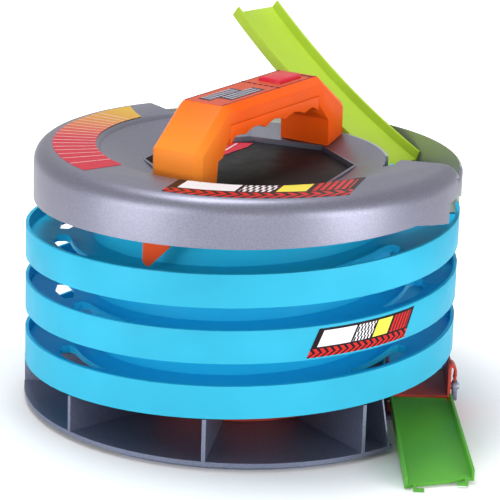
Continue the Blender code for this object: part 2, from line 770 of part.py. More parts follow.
def top_cover():
    place = at(COVER_X)
    outer = [(FUNNEL_INNER_R, funnel_z(FUNNEL_INNER_R)), (FUNNEL_OUTER_R, funnel_z(FUNNEL_OUTER_R))]
    outer += [(FLAT_INNER_R - 1.2, COVER_TOP - 0.9), (FLAT_INNER_R + 1, COVER_TOP)]
    edge_r = COVER_R - SHOULDER_R
    edge_z = COVER_TOP - SHOULDER_R
    outer += arc(edge_r, edge_z, SHOULDER_R, 90, 0, 6)
    outer += [(COVER_R, COVER_LOW)]
    inner = [(COVER_R - COVER_WALL, COVER_LOW)]
    inner += arc(edge_r, edge_z, SHOULDER_R - COVER_WALL, 0, 90, 6)
    inner += [(FLAT_INNER_R + 1.5, COVER_TOP - COVER_WALL)]
    inner += [(FUNNEL_OUTER_R + 0.9, funnel_z(FUNNEL_OUTER_R) - COVER_WALL)]
    inner += [(FUNNEL_INNER_R, funnel_z(FUNNEL_INNER_R) - COVER_WALL)]
    sweep = 360 + COVER_START - COVER_END
    cover = add("top_cover", eased(swept(outer + inner, COVER_END, sweep, steps=COVER_STEPS)), "silver", place)
    cone = [
        (FUNNEL_INNER_R + 0.1, funnel_z(FUNNEL_INNER_R) - 0.05),
        (FUNNEL_REAR_R, funnel_z(FUNNEL_REAR_R) - 0.05),
        (FUNNEL_REAR_R, funnel_z(FUNNEL_REAR_R) - COVER_WALL + 0.05),
        (FUNNEL_INNER_R + 0.1, funnel_z(FUNNEL_INNER_R) - COVER_WALL + 0.05),
    ]
    step = sweep / COVER_STEPS
    rear = swept(cone, COVER_START - step, 360 - sweep + 2 * step, steps=40)
    join(cover, add("rear_cone", rear, None, place))
    join(cover, add("slide", eased(loft(slide_rows())), None, place))
    join(cover, add("slide_wall", eased(loft(slide_wall_rows())), None, place))
    well = prism(octagon(RECESS_R + RECESS_WALL), RECESS_FLOOR - RECESS_WALL, funnel_z(RECESS_R) + 0.5)
    join(cover, add("recess_tub", well, None, place))
    trim = prism(octagon(RECESS_R), RECESS_FLOOR, COVER_TOP)
    cut(cover, add("recess", trim, None, place))
    window = prism(octagon(RECESS_R - RECESS_LEDGE), RECESS_FLOOR - RECESS_WALL - 1, RECESS_FLOOR + 1)
    cut(cover, add("recess_window", window, None, place))
    cut(cover, add("rim_cut", rim_cutter(), None, at(COVER_X - SHELL_IN)))
    return cover


def deck_panel():
    plate = prism(octagon(RECESS_R - GAP), RECESS_FLOOR + GAP, RECESS_FLOOR + GAP + PANEL)
    return add("deck_panel", plate, "dark", at(COVER_X))


def ring_sector(inner_r, outer_r, low, high):
    return [(inner_r, low), (outer_r, low), (outer_r, high), (inner_r, high)]


def entry_channel():
    """The open channel at the back right: walls, a shelf, and the sloping landing deck."""
    place = at(COVER_X)
    wall_in = COVER_R - CHANNEL_WALL
    top = CHANNEL_RIM
    outline = [
        (wall_in, CHANNEL_LOW),
        (COVER_R, CHANNEL_LOW),
        (COVER_R, top - 3.0),
        (COVER_R - 0.6, top - 0.9),
        (COVER_R - 1.4, top),
        (wall_in, top),
    ]
    sweep = COVER_END - 0.4 - SEAM_ANGLE
    channel = add("entry_channel", eased(swept(outline, SEAM_ANGLE, sweep)), "silver", place)
    high = [(r, max(z, LEAD_LOW)) for r, z in outline]
    lead = eased(swept(high, CHANNEL_START, SEAM_ANGLE - CHANNEL_START + 1))
    join(channel, add("channel_lead", lead, None, place))
    inner = ring_sector(CHANNEL_INNER_R, CHANNEL_INNER_R + CHANNEL_WALL, CHANNEL_INNER_LOW, CHANNEL_INNER_TOP)
    inner_wall = swept(inner, SEAM_ANGLE + 1, sweep - 1)
    join(channel, add("channel_inner_wall", inner_wall, None, place))
    middle_in = CHANNEL_INNER_R + CHANNEL_WALL / 2
    middle_out = COVER_R - CHANNEL_WALL / 2
    shelf_outline = ring_sector(middle_in, middle_out, SHELF_TOP - SHELF, SHELF_TOP)
    shelf = swept(shelf_outline, SHELF_START, SEAM_ANGLE + sweep - SHELF_START)
    join(channel, add("channel_shelf", eased(shelf), None, place))
    riser = ring_sector(middle_in, middle_out, LANDING_TOP - SHELF, SHELF_TOP - 0.5)
    join(channel, add("channel_riser", eased(swept(riser, SHELF_START, 1.2)), None, place))
    floor = ring_sector(middle_in, middle_out, LANDING_TOP - SHELF, LANDING_TOP)
    flat = swept(floor, LANDING_ANGLE - 1.5, SHELF_START - LANDING_ANGLE + 2)
    join(channel, add("channel_floor", eased(flat), None, place))
    fall = deck_top(SEAM_ANGLE) + GAP - LANDING_TOP
    drop = LANDING_ANGLE - SEAM_ANGLE - 1
    landing = swept(floor, LANDING_ANGLE, -drop, fall)
    join(channel, add("landing_deck", eased(landing), None, place))
    hole = rod(RAMP_PIN_R + PIN_PLAY, CHANNEL_INNER_R - 8, COVER_R + 8, 16)
    cut(channel, add("ramp_pin_bore", moved(hole, pin_place()), None))
    return channel


def ramp_frame():
    """Frame at the cover's axis: X across the ramp, away from the axis, and Y up the ramp."""
    return Matrix.Translation((COVER_X, 0, 0)) @ Matrix.Rotation(math.radians(90 + RAMP_TURN), 4, "Z")


def ramp_height(run):
    """Height of the ramp's floor at a run from its lower end."""
    low = math.radians(RAMP_END_SLOPE)
    a = math.asin(math.sin(low) + run / RAMP_BEND_R)
    return RAMP_END_TOP + RAMP_BEND_R * (math.cos(low) - math.cos(a))


def ramp_pin_z():
    return ramp_height(RAMP_PIN_RUN) - RAMP_PIN_DROP


def pin_place():
    """Lays a rod made along Z on the ramp's pin axis."""
    along = RAMP_END_AT + RAMP_PIN_RUN
    return ramp_frame() @ Matrix.Translation((0, along, ramp_pin_z())) @ Matrix.Rotation(math.pi / 2, 4, "Y")


def launch_ramp():
    half = RAMP_WIDTH / 2
    low = math.radians(RAMP_END_SLOPE)
    section = [
        (-half, -RAMP_FLOOR),
        (half, -RAMP_FLOOR),
        (half, RAMP_KERB),
        (half - RAMP_SIDE, RAMP_KERB),
        (half - RAMP_SIDE, 0),
        (-half + RAMP_SIDE, 0),
        (-half + RAMP_SIDE, RAMP_KERB),
        (-half, RAMP_KERB),
    ]
    bm = bmesh.new()
    tilt = Matrix.Rotation(low, 3, "X")
    end = Vector((RAMP_OFFSET, RAMP_END_AT, RAMP_END_TOP))
    verts = [bm.verts.new(end + tilt @ Vector((x, 0, z))) for x, z in section]
    face = bm.faces.new(verts)
    bmesh.ops.spin(
        bm,
        geom=[face, *face.edges, *face.verts],
        cent=end + tilt @ Vector((0, 0, RAMP_BEND_R)),
        axis=(1, 0, 0),
        angle=math.radians(RAMP_TOP_SLOPE - RAMP_END_SLOPE),
        steps=14,
        use_duplicate=False,
    )
    pivot = Vector((RAMP_OFFSET, RAMP_END_AT + RAMP_PIN_RUN, ramp_pin_z()))
    bmesh.ops.translate(bm, vec=-pivot, verts=bm.verts)
    world_pivot = ramp_frame() @ pivot
    place = at(*world_pivot, turn=90 + RAMP_TURN)
    ramp = add("launch_ramp", bm, "green", place)
    ear_angle = math.asin(math.sin(low) + RAMP_PIN_RUN / RAMP_BEND_R)
    ear_turn = Matrix.Rotation(ear_angle, 4, "X")
    for i, side in enumerate((-1, 1)):
        x = side * (half - EAR_INSET)
        ear_top = RAMP_PIN_DROP - RAMP_FLOOR / 3
        ear = box((x - EAR_HALF, -EAR_HALF_LENGTH, -EAR_LOW), (x + EAR_HALF, EAR_HALF_LENGTH, ear_top))
        join(ramp, add(f"ramp_ear_{i}", moved(ear, ear_turn), None, place))
    bore = rod(RAMP_PIN_R + PIN_PLAY, -RAMP_WIDTH, RAMP_WIDTH, 16)
    bore = moved(bore, Matrix.Rotation(math.pi / 2, 4, "Y"))
    cut(ramp, add("ramp_bore", bore, None, place))
    return ramp


def launch_ramp_pin():
    place = pin_place()
    bm = rod(RAMP_PIN_R, CHANNEL_INNER_R - 0.6, COVER_R - 2 * SHELL_IN - 0.6, 16)
    return add("launch_ramp_pin", moved(bm, place), "steel")


def side_solid(points, half_width):
    """A solid from a side outline (u, z), u along the handle, v across it."""
    bm = bmesh.new()
    face = bm.faces.new([bm.verts.new((u, -half_width, z)) for u, z in points])
    grown = bmesh.ops.extrude_face_region(bm, geom=[face])
    lifted = [v for v in grown["geom"] if isinstance(v, bmesh.types.BMVert)]
    bmesh.ops.translate(bm, vec=(0, 2 * half_width, 0), verts=lifted)
    return bm


def handle_place():
    return at(COVER_X, 0, 0, HANDLE_TURN)


def handle_frame():
    foot_out = funnel_z(FUNNEL_REAR_R) + FOOT_LIFT
    foot_in = funnel_z(LEG_INNER + 2.6) + GAP
    outline = [
        (-HANDLE_HALF, foot_out),
        (-LEG_INNER, foot_in),
    ]
    outline += underside()[::-1]
    outline += [
        (LEG_INNER, foot_in),
        (HANDLE_RIGHT_HALF, foot_out),
        (HANDLE_RIGHT_HALF, HANDLE_RIGHT_SHOULDER),
        (HANDLE_TOP_HALF, HANDLE_TOP),
        (-HANDLE_TOP_HALF, HANDLE_TOP),
        (-HANDLE_HALF, HANDLE_SHOULDER),
    ]
    bm = side_solid(outline, HANDLE_HALF_WIDTH)
    bm.edges.ensure_lookup_table()
    outer_edges = []
    for edge in bm.edges:
        a, b = (v.co for v in edge.verts)
        on_side = abs(a.y - b.y) < 1e-6
        outside = min(a.z, b.z) > foot_out - 0.01 and max(a.z, b.z) > HANDLE_SHOULDER - 0.01
        if on_side and outside:
            outer_edges.append(edge)
    bmesh.ops.bevel(bm, geom=outer_edges, offset=HANDLE_CHAMFER, offset_type="OFFSET", segments=1, affect="EDGES")
    frame = add("handle_frame", bm, "orange", handle_place())
    return frame


def handle():
    frame = handle_frame()
    low = min(z for _, z in underside())
    split = [(GRIP_LEFT, low), (GRIP_RIGHT, low), (GRIP_RIGHT, GRIP_TOP), (GRIP_LEFT, GRIP_TOP)]
    left = GRIP_LEFT + GAP
    right = GRIP_RIGHT - GAP
    under = [point for point in underside() if left < point[0] < right]
    grip_outline = [(right, GRIP_TOP - GAP), (left, GRIP_TOP - GAP), (left, underside_at(left))]
    grip_outline += under[::-1] + [(right, underside_at(right))]
    grip = side_solid(grip_outline, HANDLE_HALF_WIDTH - GRIP_INSET)
    add("handle_grip", grip, "orange", handle_place())
    cut(frame, add("grip_room", side_solid(split, HANDLE_HALF_WIDTH + 2), None, handle_place()))
    room = box(
        (ROOM_LEFT, -ROOM_HALF_WIDTH, GRIP_TOP - 1),
        (ROOM_RIGHT, ROOM_HALF_WIDTH, HANDLE_TOP - ROOM_ROOF),
    )
    cut(frame, add("handle_room", room, None, handle_place()))
    hole = box(
        (BUTTON_AT - BUTTON_LENGTH / 2, -BUTTON_WIDTH / 2, HANDLE_TOP - ROOM_ROOF - 1),
        (BUTTON_AT + BUTTON_LENGTH / 2, BUTTON_WIDTH / 2, HANDLE_TOP + 1),
    )
    cut(frame, add("button_hole", hole, None, handle_place()))
    button()
    sound_unit()
    for i, side in enumerate((-1, 1)):
        u = side * (LEG_INNER + HANDLE_HALF) / 2
        x, y = polar(abs(u), HANDLE_TURN if side > 0 else HANDLE_TURN + 180)
        bore = rod(SCREW_HOLE_R, SCREW_BORE_START, SCREW_BORE_TOP, 16)
        cut(frame, add(f"handle_bore_{i}", bore, None, at(COVER_X + x, y)))
        z = funnel_z(abs(u) - SCREW_HEAD_R) - COVER_WALL - GAP
        through = rod(SCREW_HOLE_R, SCREW_BORE_START, COVER_TOP, 16)
        cut(bpy.data.objects["top_cover"], add(f"cover_bore_{i}", through, None, at(COVER_X + x, y)))
        screw(f"handle_screw_{i + 1}", at(COVER_X + x, y, z - SCREW_HEAD), HANDLE_SCREW)


def underside():
    """The scalloped underside between the legs: places along the handle, and heights."""
    return [(along, HANDLE_TOP - depth) for along, depth in UNDERSIDE if abs(along) < LEG_INNER]


def underside_at(along):
    """Height of the scalloped underside at a place along the handle."""
    points = underside()
    for (a, high), (b, low) in zip(points, points[1:]):
        if b <= along <= a:
            return high + (low - high) * (along - a) / (b - a)
    return points[-1][1]


def button():
    """The push button: a crowned cap with a skirt flange that keeps it in the handle."""
    half_length = BUTTON_LENGTH / 2
    half_width = BUTTON_WIDTH / 2
    cap = box(
        (-half_length + GAP, -half_width + GAP, -BUTTON_SKIRT),
        (half_length - GAP, half_width - GAP, BUTTON_RISE),
    )
    top_edges = [e for e in cap.edges if min(v.co.z for v in e.verts) > BUTTON_RISE - 0.01]
    bmesh.ops.bevel(
        cap, geom=top_edges, offset=BUTTON_EDGE, offset_type="OFFSET", segments=3, profile=0.5, affect="EDGES"
    )
    place = handle_place() @ at(BUTTON_AT, 0, HANDLE_TOP)
    obj = add("push_button", cap, "red", place)
    flange = box(
        (-half_length - FLANGE_REACH, -half_width - FLANGE_REACH, -FLANGE_LOW),
        (half_length + FLANGE_REACH, half_width + FLANGE_REACH, -FLANGE_HIGH - GAP),
    )
    join(obj, add("button_flange", flange, None, place))
    seat = rod(SPRING_SEAT_R, -FLANGE_LOW - 1, -SPRING_SEAT_TOP, 20)
    cut(obj, add("button_spring_seat", seat, None, place))


def sound_unit():
    """What the button works: a spring, a board, a speaker and two button cells."""
    board_top = GRIP_TOP + BOARD
    place = handle_place()
    board = box(
        (ROOM_LEFT + BOARD_INSET, -BOARD_HALF_WIDTH, GRIP_TOP),
        (ROOM_RIGHT - BOARD_INSET, BOARD_HALF_WIDTH, board_top),
    )
    add("sound_board", board, "board", place)
    coil_low = board_top + GAP + SPRING_WIRE_R
    coil_high = HANDLE_TOP - SPRING_SEAT_TOP - GAP - SPRING_WIRE_R
    curve = bpy.data.curves.new("button_spring", "CURVE")
    curve.dimensions = "3D"
    curve.bevel_depth = SPRING_WIRE_R * MM
    curve.bevel_resolution = 1
    curve.use_fill_caps = True
    spline = curve.splines.new("POLY")
    count = SPRING_TURNS * SPRING_POINTS
    spline.points.add(count)
    for i in range(count + 1):
        a = math.tau * SPRING_TURNS * i / count
        z = coil_low + (coil_high - coil_low) * i / count
        spline.points[i].co = (SPRING_R * math.cos(a) * MM, SPRING_R * math.sin(a) * MM, z * MM, 1)
    spring = bpy.data.objects.new("button_spring", curve)
    spring.matrix_world = place @ at(BUTTON_AT)
    curve.materials.append(material("steel"))
    PARTS.objects.link(spring)
    add("speaker", turned(SPEAKER, 32), "dark", place @ at(0, 0, board_top + GAP))
    for i in range(2):
        along = CELL_FIRST + CELL_STEP * i
        add(f"button_cell_{i + 1}", rod(CELL_R, 0, CELL, 28), "steel", place @ at(along, 0, board_top + GAP))


def start_gate():
    """A fin that hangs in the lane under the cover and swings on a post held in a sleeve."""
    x, y = polar(GATE_R, GATE_ANGLE)
    place = at(x, y, 0, GATE_TURN)
    under = COVER_TOP - COVER_WALL
    top = under - GATE_SLEEVE - GAP
    low = deck_top(GATE_ANGLE) + GATE_CLEARANCE
    outline = [(GATE_FIN[0][0], top)] + [(u, low + z) for u, z in GATE_FIN] + [(GATE_FIN[-1][0], top)]
    gate = add("start_gate", side_solid(outline, GATE_THICK / 2), "orange", place)
    join(gate, add("gate_post", rod(GATE_PIVOT_R, top - GATE_POST, under - GAP, 20), None, place))
    head = rod(GATE_PIVOT_R + GATE_HEAD_RIM, under - GAP - GATE_HEAD, under - GAP, 20)
    join(gate, add("gate_head", head, None, place))
    collar = rod(GATE_PIVOT_R + GATE_COLLAR_RIM, top - GATE_COLLAR, top, 24)
    join(gate, add("gate_collar", collar, None, place))
    bore = GATE_PIVOT_R + GAP
    room = GATE_PIVOT_R + GATE_HEAD_RIM + GAP
    rim = under - GATE_SLEEVE
    seat = under - GATE_HEAD - 2 * GAP
    sleeve_outline = [
        (bore, rim),
        (room + SLEEVE_WALL, rim),
        (room + SLEEVE_WALL, under + 0.5),
        (room, under + 0.5),
        (room, seat),
        (bore, seat),
    ]
    join(bpy.data.objects["top_cover"], add("gate_sleeve", turned(sleeve_outline, 24), None, place))
    return gate


def exit_chute():
    """Straight orange run from the end of the lower tier to the exit ramp."""
    start_y = CHUTE_START
    start_top = deck_top(SEAM_ANGLE, TIERS) - CHUTE_STEP
    mouth = EXIT_MOUTH + CHUTE_LIP
    floor = [
        (start_y, start_top - EXIT_WALL),
        (start_y, start_top),
        (mouth, EXIT_MOUTH_TOP),
        (mouth, EXIT_MOUTH_TOP - EXIT_WALL),
    ]
    chute = add("exit_chute", along_y(floor, EXIT_LEFT + 0.5, EXIT_RIGHT - 0.5), "orange")
    low = BASE_TOP + GAP
    left = [
        (start_y, low),
        (start_y, start_top + KERB),
        (mouth + CHUTE_CORNER, EXIT_MOUTH_TOP + EXIT_KERB),
        (mouth, EXIT_MOUTH_TOP + EXIT_KERB - CHUTE_CORNER),
        (mouth, low),
    ]
    join(chute, add("chute_left", along_y(left, EXIT_LEFT, EXIT_LEFT + EXIT_WALL), None))
    guard = EXIT_MOUTH_TOP + EXIT_GUARD
    right = [
        (start_y, low),
        (start_y, start_top + KERB),
        (LEVER_Y + GUARD_LOW_END, start_top + KERB),
        (LEVER_Y + GUARD_HIGH_END, guard),
        (mouth + CHUTE_CORNER, guard),
        (mouth, guard - CHUTE_CORNER),
        (mouth, EXIT_MOUTH_TOP - 7),
        (LEVER_Y + 6, low),
    ]
    join(chute, add("chute_right", along_y(right, EXIT_RIGHT - EXIT_WALL, EXIT_RIGHT), None))
    pin_z = EXIT_MOUTH_TOP - EXIT_PIN_DROP
    for i, left_x in enumerate((EXIT_LEFT, EXIT_RIGHT - EXIT_WALL)):
        right_x = left_x + EXIT_WALL
        eye = along_x_rod(EXIT_LUG_R, left_x, right_x, EXIT_PIN_Y, pin_z, 24)
        join(chute, add(f"chute_eye_{i}", eye, None))
        web_half = EXIT_LUG_R - 0.1
        web = box((left_x, EXIT_PIN_Y, pin_z - web_half), (right_x, mouth + 1, pin_z + web_half))
        join(chute, add(f"chute_web_{i}", web, None))
    bore = along_x_rod(EXIT_PIN_R + PIN_PLAY, EXIT_LEFT - 5, EXIT_RIGHT + 5, EXIT_PIN_Y, pin_z)
    cut(chute, add("chute_bore", bore, None))
    hook = side_solid([(EXIT_RIGHT + x, LEVER_Z + z) for x, z in HOOK], HOOK_HALF)
    join(chute, add("chute_hook", moved(hook, shift(y=LEVER_Y)), None))
    blind = EXIT_RIGHT - EXIT_WALL + BLIND_END
    lever_bore = along_x_rod(LEVER_PIN_R + PRESS_GAP, blind - GAP, EXIT_RIGHT + 1, LEVER_Y, LEVER_Z)
    cut(chute, add("chute_lever_bore", lever_bore, None))
    return chute


def exit_ramp():
    """The green ramp at the exit, hinged on a cross pin so that it lifts for carrying."""
    pin_z = EXIT_MOUTH_TOP - EXIT_PIN_DROP
    tip = EXIT_RAMP_TIP / math.cos(math.radians(EXIT_RAMP_SLOPE))
    slope = Matrix.Rotation(math.radians(EXIT_RAMP_SLOPE), 4, "X")
    place = at((EXIT_LEFT + EXIT_RIGHT) / 2, EXIT_PIN_Y, pin_z)
    half = (EXIT_RIGHT - EXIT_LEFT) / 2
    top = EXIT_BARREL_R
    low = top - EXIT_RAMP_FLOOR
    near_y = -EXIT_LUG_R - 2 * GAP
    left_near = (-half, near_y)
    right_near = (half, near_y)
    left_far = (-half + EXIT_RAMP_LEFT_DRIFT, -tip)
    right_far = (half + EXIT_RAMP_RIGHT_DRIFT, -tip + EXIT_RAMP_SKEW)
    inset = EXIT_RAMP_SIDE / 2
    plate = [
        (left_near[0] + inset, left_near[1] - 0.3),
        (left_far[0] + inset, left_far[1] + 0.3),
        (right_far[0] - inset, right_far[1] + 0.3),
        (right_near[0] - inset, right_near[1] - 0.3),
    ]
    floor = prism(plate, low, top)
    ramp = add("exit_ramp", moved(floor, slope), "green", place)
    inner = half - EXIT_WALL - TONGUE_PLAY
    tongue = box((-inner, -TONGUE_LENGTH, low + 0.15), (inner, 0, top - 0.15))
    join(ramp, add("exit_tongue", moved(tongue, slope), None, place))
    barrel = along_x_rod(EXIT_BARREL_R, -inner - 0.1, inner + 0.1, 0, 0, 24)
    join(ramp, add("exit_barrel", barrel, None, place))
    for i, (near, far) in enumerate(((left_near, left_far), (right_near, right_far))):
        side = 1 if i == 0 else -1
        wall = EXIT_RAMP_SIDE * side
        plan = [
            (near[0], near[1]),
            (far[0], far[1]),
            (far[0] + wall, far[1]),
            (near[0] + wall, near[1]),
        ]
        kerb = prism(plan, low - 0.1, top + EXIT_RAMP_KERB)
        join(ramp, add(f"exit_kerb_{i}", moved(kerb, slope), None, place))
        hook_x = far[0] + side * TIP_HOOKS[i][0]
        hook_y = far[1] + TIP_HOOKS[i][1]
        stem = box(
            (hook_x - TIP_STEM_HALF, hook_y + TIP_STEM[0], low + 0.1),
            (hook_x + TIP_STEM_HALF, hook_y + TIP_STEM[1], top - 0.1),
        )
        join(ramp, add(f"hook_stem_{i}", moved(stem, slope), None, place))
        reach = sorted((hook_x - TIP_STEM_HALF * side, hook_x + TIP_TOE_REACH * side))
        toe = box(
            (reach[0] - 0.1, hook_y + TIP_TOE[0], low + 0.2),
            (reach[1] + 0.1, hook_y + TIP_TOE[1], top - 0.2),
        )
        join(ramp, add(f"hook_toe_{i}", moved(toe, slope), None, place))
    bore = along_x_rod(EXIT_PIN_R + PIN_PLAY, -half - 5, half + 5, 0, 0)
    cut(ramp, add("exit_ramp_bore", bore, None, place))
    pin = along_x_rod(EXIT_PIN_R, EXIT_LEFT - 0.6, EXIT_RIGHT + 0.6, EXIT_PIN_Y, pin_z)
    add("exit_ramp_pin", pin, "steel")
    return ramp


def exit_lever():
    """The small lever beside the exit, on a pin through the chute's right wall."""
    left = EXIT_RIGHT + GAP + LEVER_HUB
    place = at(left, LEVER_Y, LEVER_Z)
    lever = add("exit_lever", along_x_rod(LEVER_HALF, 0, LEVER_THICK, 0, 0, 24), "base", place)
    bar = box((0, -LEVER_HALF, -LEVER_DROP), (LEVER_THICK, LEVER_HALF, 0))
    join(lever, add("lever_bar", bar, None, place))
    tip = along_x_rod(LEVER_HALF, 0, LEVER_THICK, 0, -LEVER_DROP, 24)
    join(lever, add("lever_tip", tip, None, place))
    hub = along_x_rod(LEVER_PIN_R + LEVER_HUB_RIM, -LEVER_HUB, LEVER_THICK, 0, 0, 24)
    join(lever, add("lever_hub", hub, None, place))
    lever_bore = along_x_rod(LEVER_PIN_R + LEVER_PLAY, -2 * LEVER_HUB, LEVER_THICK + 2, 0, 0)
    cut(lever, add("lever_bore", lever_bore, None, place))
    head = LEVER_PIN_R + LEVER_HUB
    outside = left + LEVER_THICK + GAP
    pin = turned(
        [
            (0, EXIT_RIGHT - EXIT_WALL + BLIND_END),
            (LEVER_PIN_R, EXIT_RIGHT - EXIT_WALL + BLIND_END),
            (LEVER_PIN_R, outside),
            (head, outside),
            (head, outside + LEVER_HEAD),
            (0, outside + LEVER_HEAD),
        ],
        20,
    )
    turn = Matrix.Translation((0, LEVER_Y, LEVER_Z)) @ Matrix.Rotation(math.pi / 2, 4, "Y")
    add("exit_lever_pin", moved(pin, turn), "steel")
    return lever


def along_y(points, left, right):
    """A solid from a side outline (y, z) between two x values."""
    bm = bmesh.new()
    face = bm.faces.new([bm.verts.new((left, y, z)) for y, z in points])
    grown = bmesh.ops.extrude_face_region(bm, geom=[face])
    lifted = [v for v in grown["geom"] if isinstance(v, bmesh.types.BMVert)]
    bmesh.ops.translate(bm, vec=(right - left, 0, 0), verts=lifted)
    return bm


def along_x_rod(radius, left, right, y, z, segments=16):
    bm = rod(radius, left, right, segments)
    return moved(bm, Matrix.Translation((0, y, z)) @ Matrix.Rotation(math.pi / 2, 4, "Y"))


track_tiers()
base_tray()
core_drum()
top_cover()
deck_panel()
entry_channel()
launch_ramp()
launch_ramp_pin()
handle()
start_gate()
exit_chute()
exit_ramp()
exit_lever()
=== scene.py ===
"""Looks of the spiral toy garage: finishes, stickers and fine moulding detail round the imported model.

Metres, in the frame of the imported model: the origin is on the spiral's axis at the table, -Y is the front.
Angles are in degrees from +X, apart from the camera's.
"""

import json
import math

import bmesh
import bpy
from mathutils import Matrix, Vector
from mathutils.bvhtree import BVHTree


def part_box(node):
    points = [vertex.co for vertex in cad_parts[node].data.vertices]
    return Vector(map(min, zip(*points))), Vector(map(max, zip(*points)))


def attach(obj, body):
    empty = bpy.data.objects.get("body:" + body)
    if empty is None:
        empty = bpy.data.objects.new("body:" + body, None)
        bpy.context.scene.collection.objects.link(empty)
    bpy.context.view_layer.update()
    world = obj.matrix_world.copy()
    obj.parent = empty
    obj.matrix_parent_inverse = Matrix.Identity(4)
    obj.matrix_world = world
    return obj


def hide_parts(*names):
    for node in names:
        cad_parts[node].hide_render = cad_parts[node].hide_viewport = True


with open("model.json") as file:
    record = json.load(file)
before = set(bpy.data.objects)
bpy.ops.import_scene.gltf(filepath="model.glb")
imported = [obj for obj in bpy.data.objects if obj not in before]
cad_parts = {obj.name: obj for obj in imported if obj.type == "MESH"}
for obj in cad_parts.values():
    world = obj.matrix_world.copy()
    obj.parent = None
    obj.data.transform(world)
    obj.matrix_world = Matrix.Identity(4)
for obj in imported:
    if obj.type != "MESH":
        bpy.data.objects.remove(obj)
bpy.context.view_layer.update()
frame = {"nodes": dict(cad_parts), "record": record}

MM = 0.001
BODY_OF = {node: body for body, nodes in frame["record"]["behaviour"]["bodies"].items() for node in nodes}
SLOT_OF = {part["node"]: part["material_slot"] for part in frame["record"]["subparts"]}


def middle_of(node):
    """The middle of a node's box at rest."""
    low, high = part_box(node)
    return [(a + b) / 2 for a, b in zip(low, high)]


# Camera, from the photograph's angle, with its turns in radians
CAMERA_AT = (0.0, -1.4888, 0.5467)
CAMERA_YAW = 0.0037
CAMERA_PITCH = 0.2923
CAMERA_ROLL = 0.031
CAMERA_LENS = 172.8
CAMERA_SENSOR = 36
CAMERA_REACH = 50

# Light: the world's strength and colours, and each lamp's name, place, size and watts
WORLD_LIGHT = 0.50
WHITE = (1.0, 1.0, 1.0, 1.0)             # the world's light on the object
BACKDROP = (0.8, 0.8, 0.8, 1.0)          # what the camera and reflections see of the world
LAMPS = (
    ("left", (-1.15, -1.35, 0.55), (0.5, 0.8), 6),
    ("right", (1.15, -1.35, 0.5), (0.5, 0.8), 7),
    ("front", (0.0, -1.9, 0.35), (0.7, 0.4), 3),
    ("top", (-0.25, 0.25, 1.7), (1.0, 0.4), 14),
    ("near_left", (-0.60, -0.40, 0.14), (0.34, 0.26), 1.3),
    ("near_right", (0.58, -0.42, 0.14), (0.34, 0.26), 1.4),
)
LAMP_AIM = Vector((0, 0, 0.1))
FLOOR_REACH = 5
FLOOR_GLOW = 0.55            # glow of the floor to the camera, clear of the object's shadow
GLOW_FROM = 0.145            # distances from the axis between which the glow sets in
GLOW_FULL = 0.34

# Places on the object
COVER_X = middle_of("deck_panel")[0]     # middle of the cover's top
COVER_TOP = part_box("top_cover")[1][2]
SHELL_X = COVER_X - 0.9 * MM             # middle of the cover's outer wall
PANEL_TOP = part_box("deck_panel")[1][2]
TRACK_R = 0.1394
TRACK_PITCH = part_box("track_upper_front")[0][2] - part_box("track_middle_front")[0][2]
WALL_FOOT = 0.0693           # lower edge of the middle turn's wall, at the front
FRONT = -90
HANDLE_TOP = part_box("handle_frame")[1][2]
HANDLE_TURN = 57.3
HANDLE_COS = math.cos(math.radians(HANDLE_TURN))
HANDLE_SIN = math.sin(math.radians(HANDLE_TURN))

# Stickers
STICKER = 0.00016            # thickness
LIFT = 0.00003               # room between a sticker and what carries it
PRINT_SHINE = 0.08

# The gauge on the cover: its near end, and its far end at the inner and the outer edge
GAUGE_RADII = (0.0986, 0.1075, 0.1165, 0.1262)
GAUGE_NEAR = -143.0
GAUGE_FAR_INNER = -222.3
GAUGE_FAR_OUTER = -229.5
GAUGE_YELLOW = -226.0        # where its colours end
TICKS_FROM = -151.2
TICKS_SWEEP = -64.5
TICK_INSET = 0.0002          # from the gauge's edges

# The band in front of the recess: left end, middle and right end of its near and its far edge
BAND_NEAR = [Vector((-0.0485, -0.1170)), Vector((0.0060, -0.1270)), Vector((0.0630, -0.1130))]
BAND_FAR = [Vector((-0.0384, -0.0897)), Vector((0.0180, -0.0905)), Vector((0.0747, -0.0721))]
ABOVE_COVER = 0.2            # height from which the band is let down on the cover

# The sticker on the middle turn: its ends and its heights over the wall's foot, at its lower and upper edge
TURN_LEFT = (-73.0, -69.8)
TURN_RIGHT = (-43.6, -40.0)
TURN_HEIGHT = (0.0012, 0.0190)

# Prints on the handle's top, in millimetres along the handle and across it from its middle
TOP_PRINT_ENDS = (-55.0, 54.9)
TOP_PRINT_HALF = 14.0
BUTTON_AT = 33.0
BUTTON_ROOM = (13.6, 9.2)    # half sizes of the print's opening round the button
LABELS = (
    ("handle_label_far", (-48.0, -30.0, -11.0), (0.2, 8.6)),
    ("handle_label_near", (-38.0, -20.0, 0.0), (-9.6, -0.4)),
)
SHORT_ROWS = (               # rows of dashes across the handle: name, place along it, half length, count
    ("handle_dashes_left", 10.0, 13.0, 7),
    ("handle_dashes_right", 51.0, 12.5, 9),
)
LONG_ROWS = (("handle_dashes_front", -13.7), ("handle_dashes_back", 13.7))
LONG_ROW_ENDS = (-54.0, 53.6)
LONG_ROW_DASHES = 44

# The pointer on the panel, in millimetres: x, y and width along it, and the ends and half width of the pale
# strip on it, a painted highlight
POINTER = ((-18.0, 22.0, 4.0), (-12.5, 36.0, 10.0), (-6.0, 50.0, 16.0), (-2.0, 60.5, 15.0))
POINTER_HIGHLIGHT = ((-17.0, 27.0), (-5.2, 57.5))
POINTER_HIGHLIGHT_HALF = 0.7

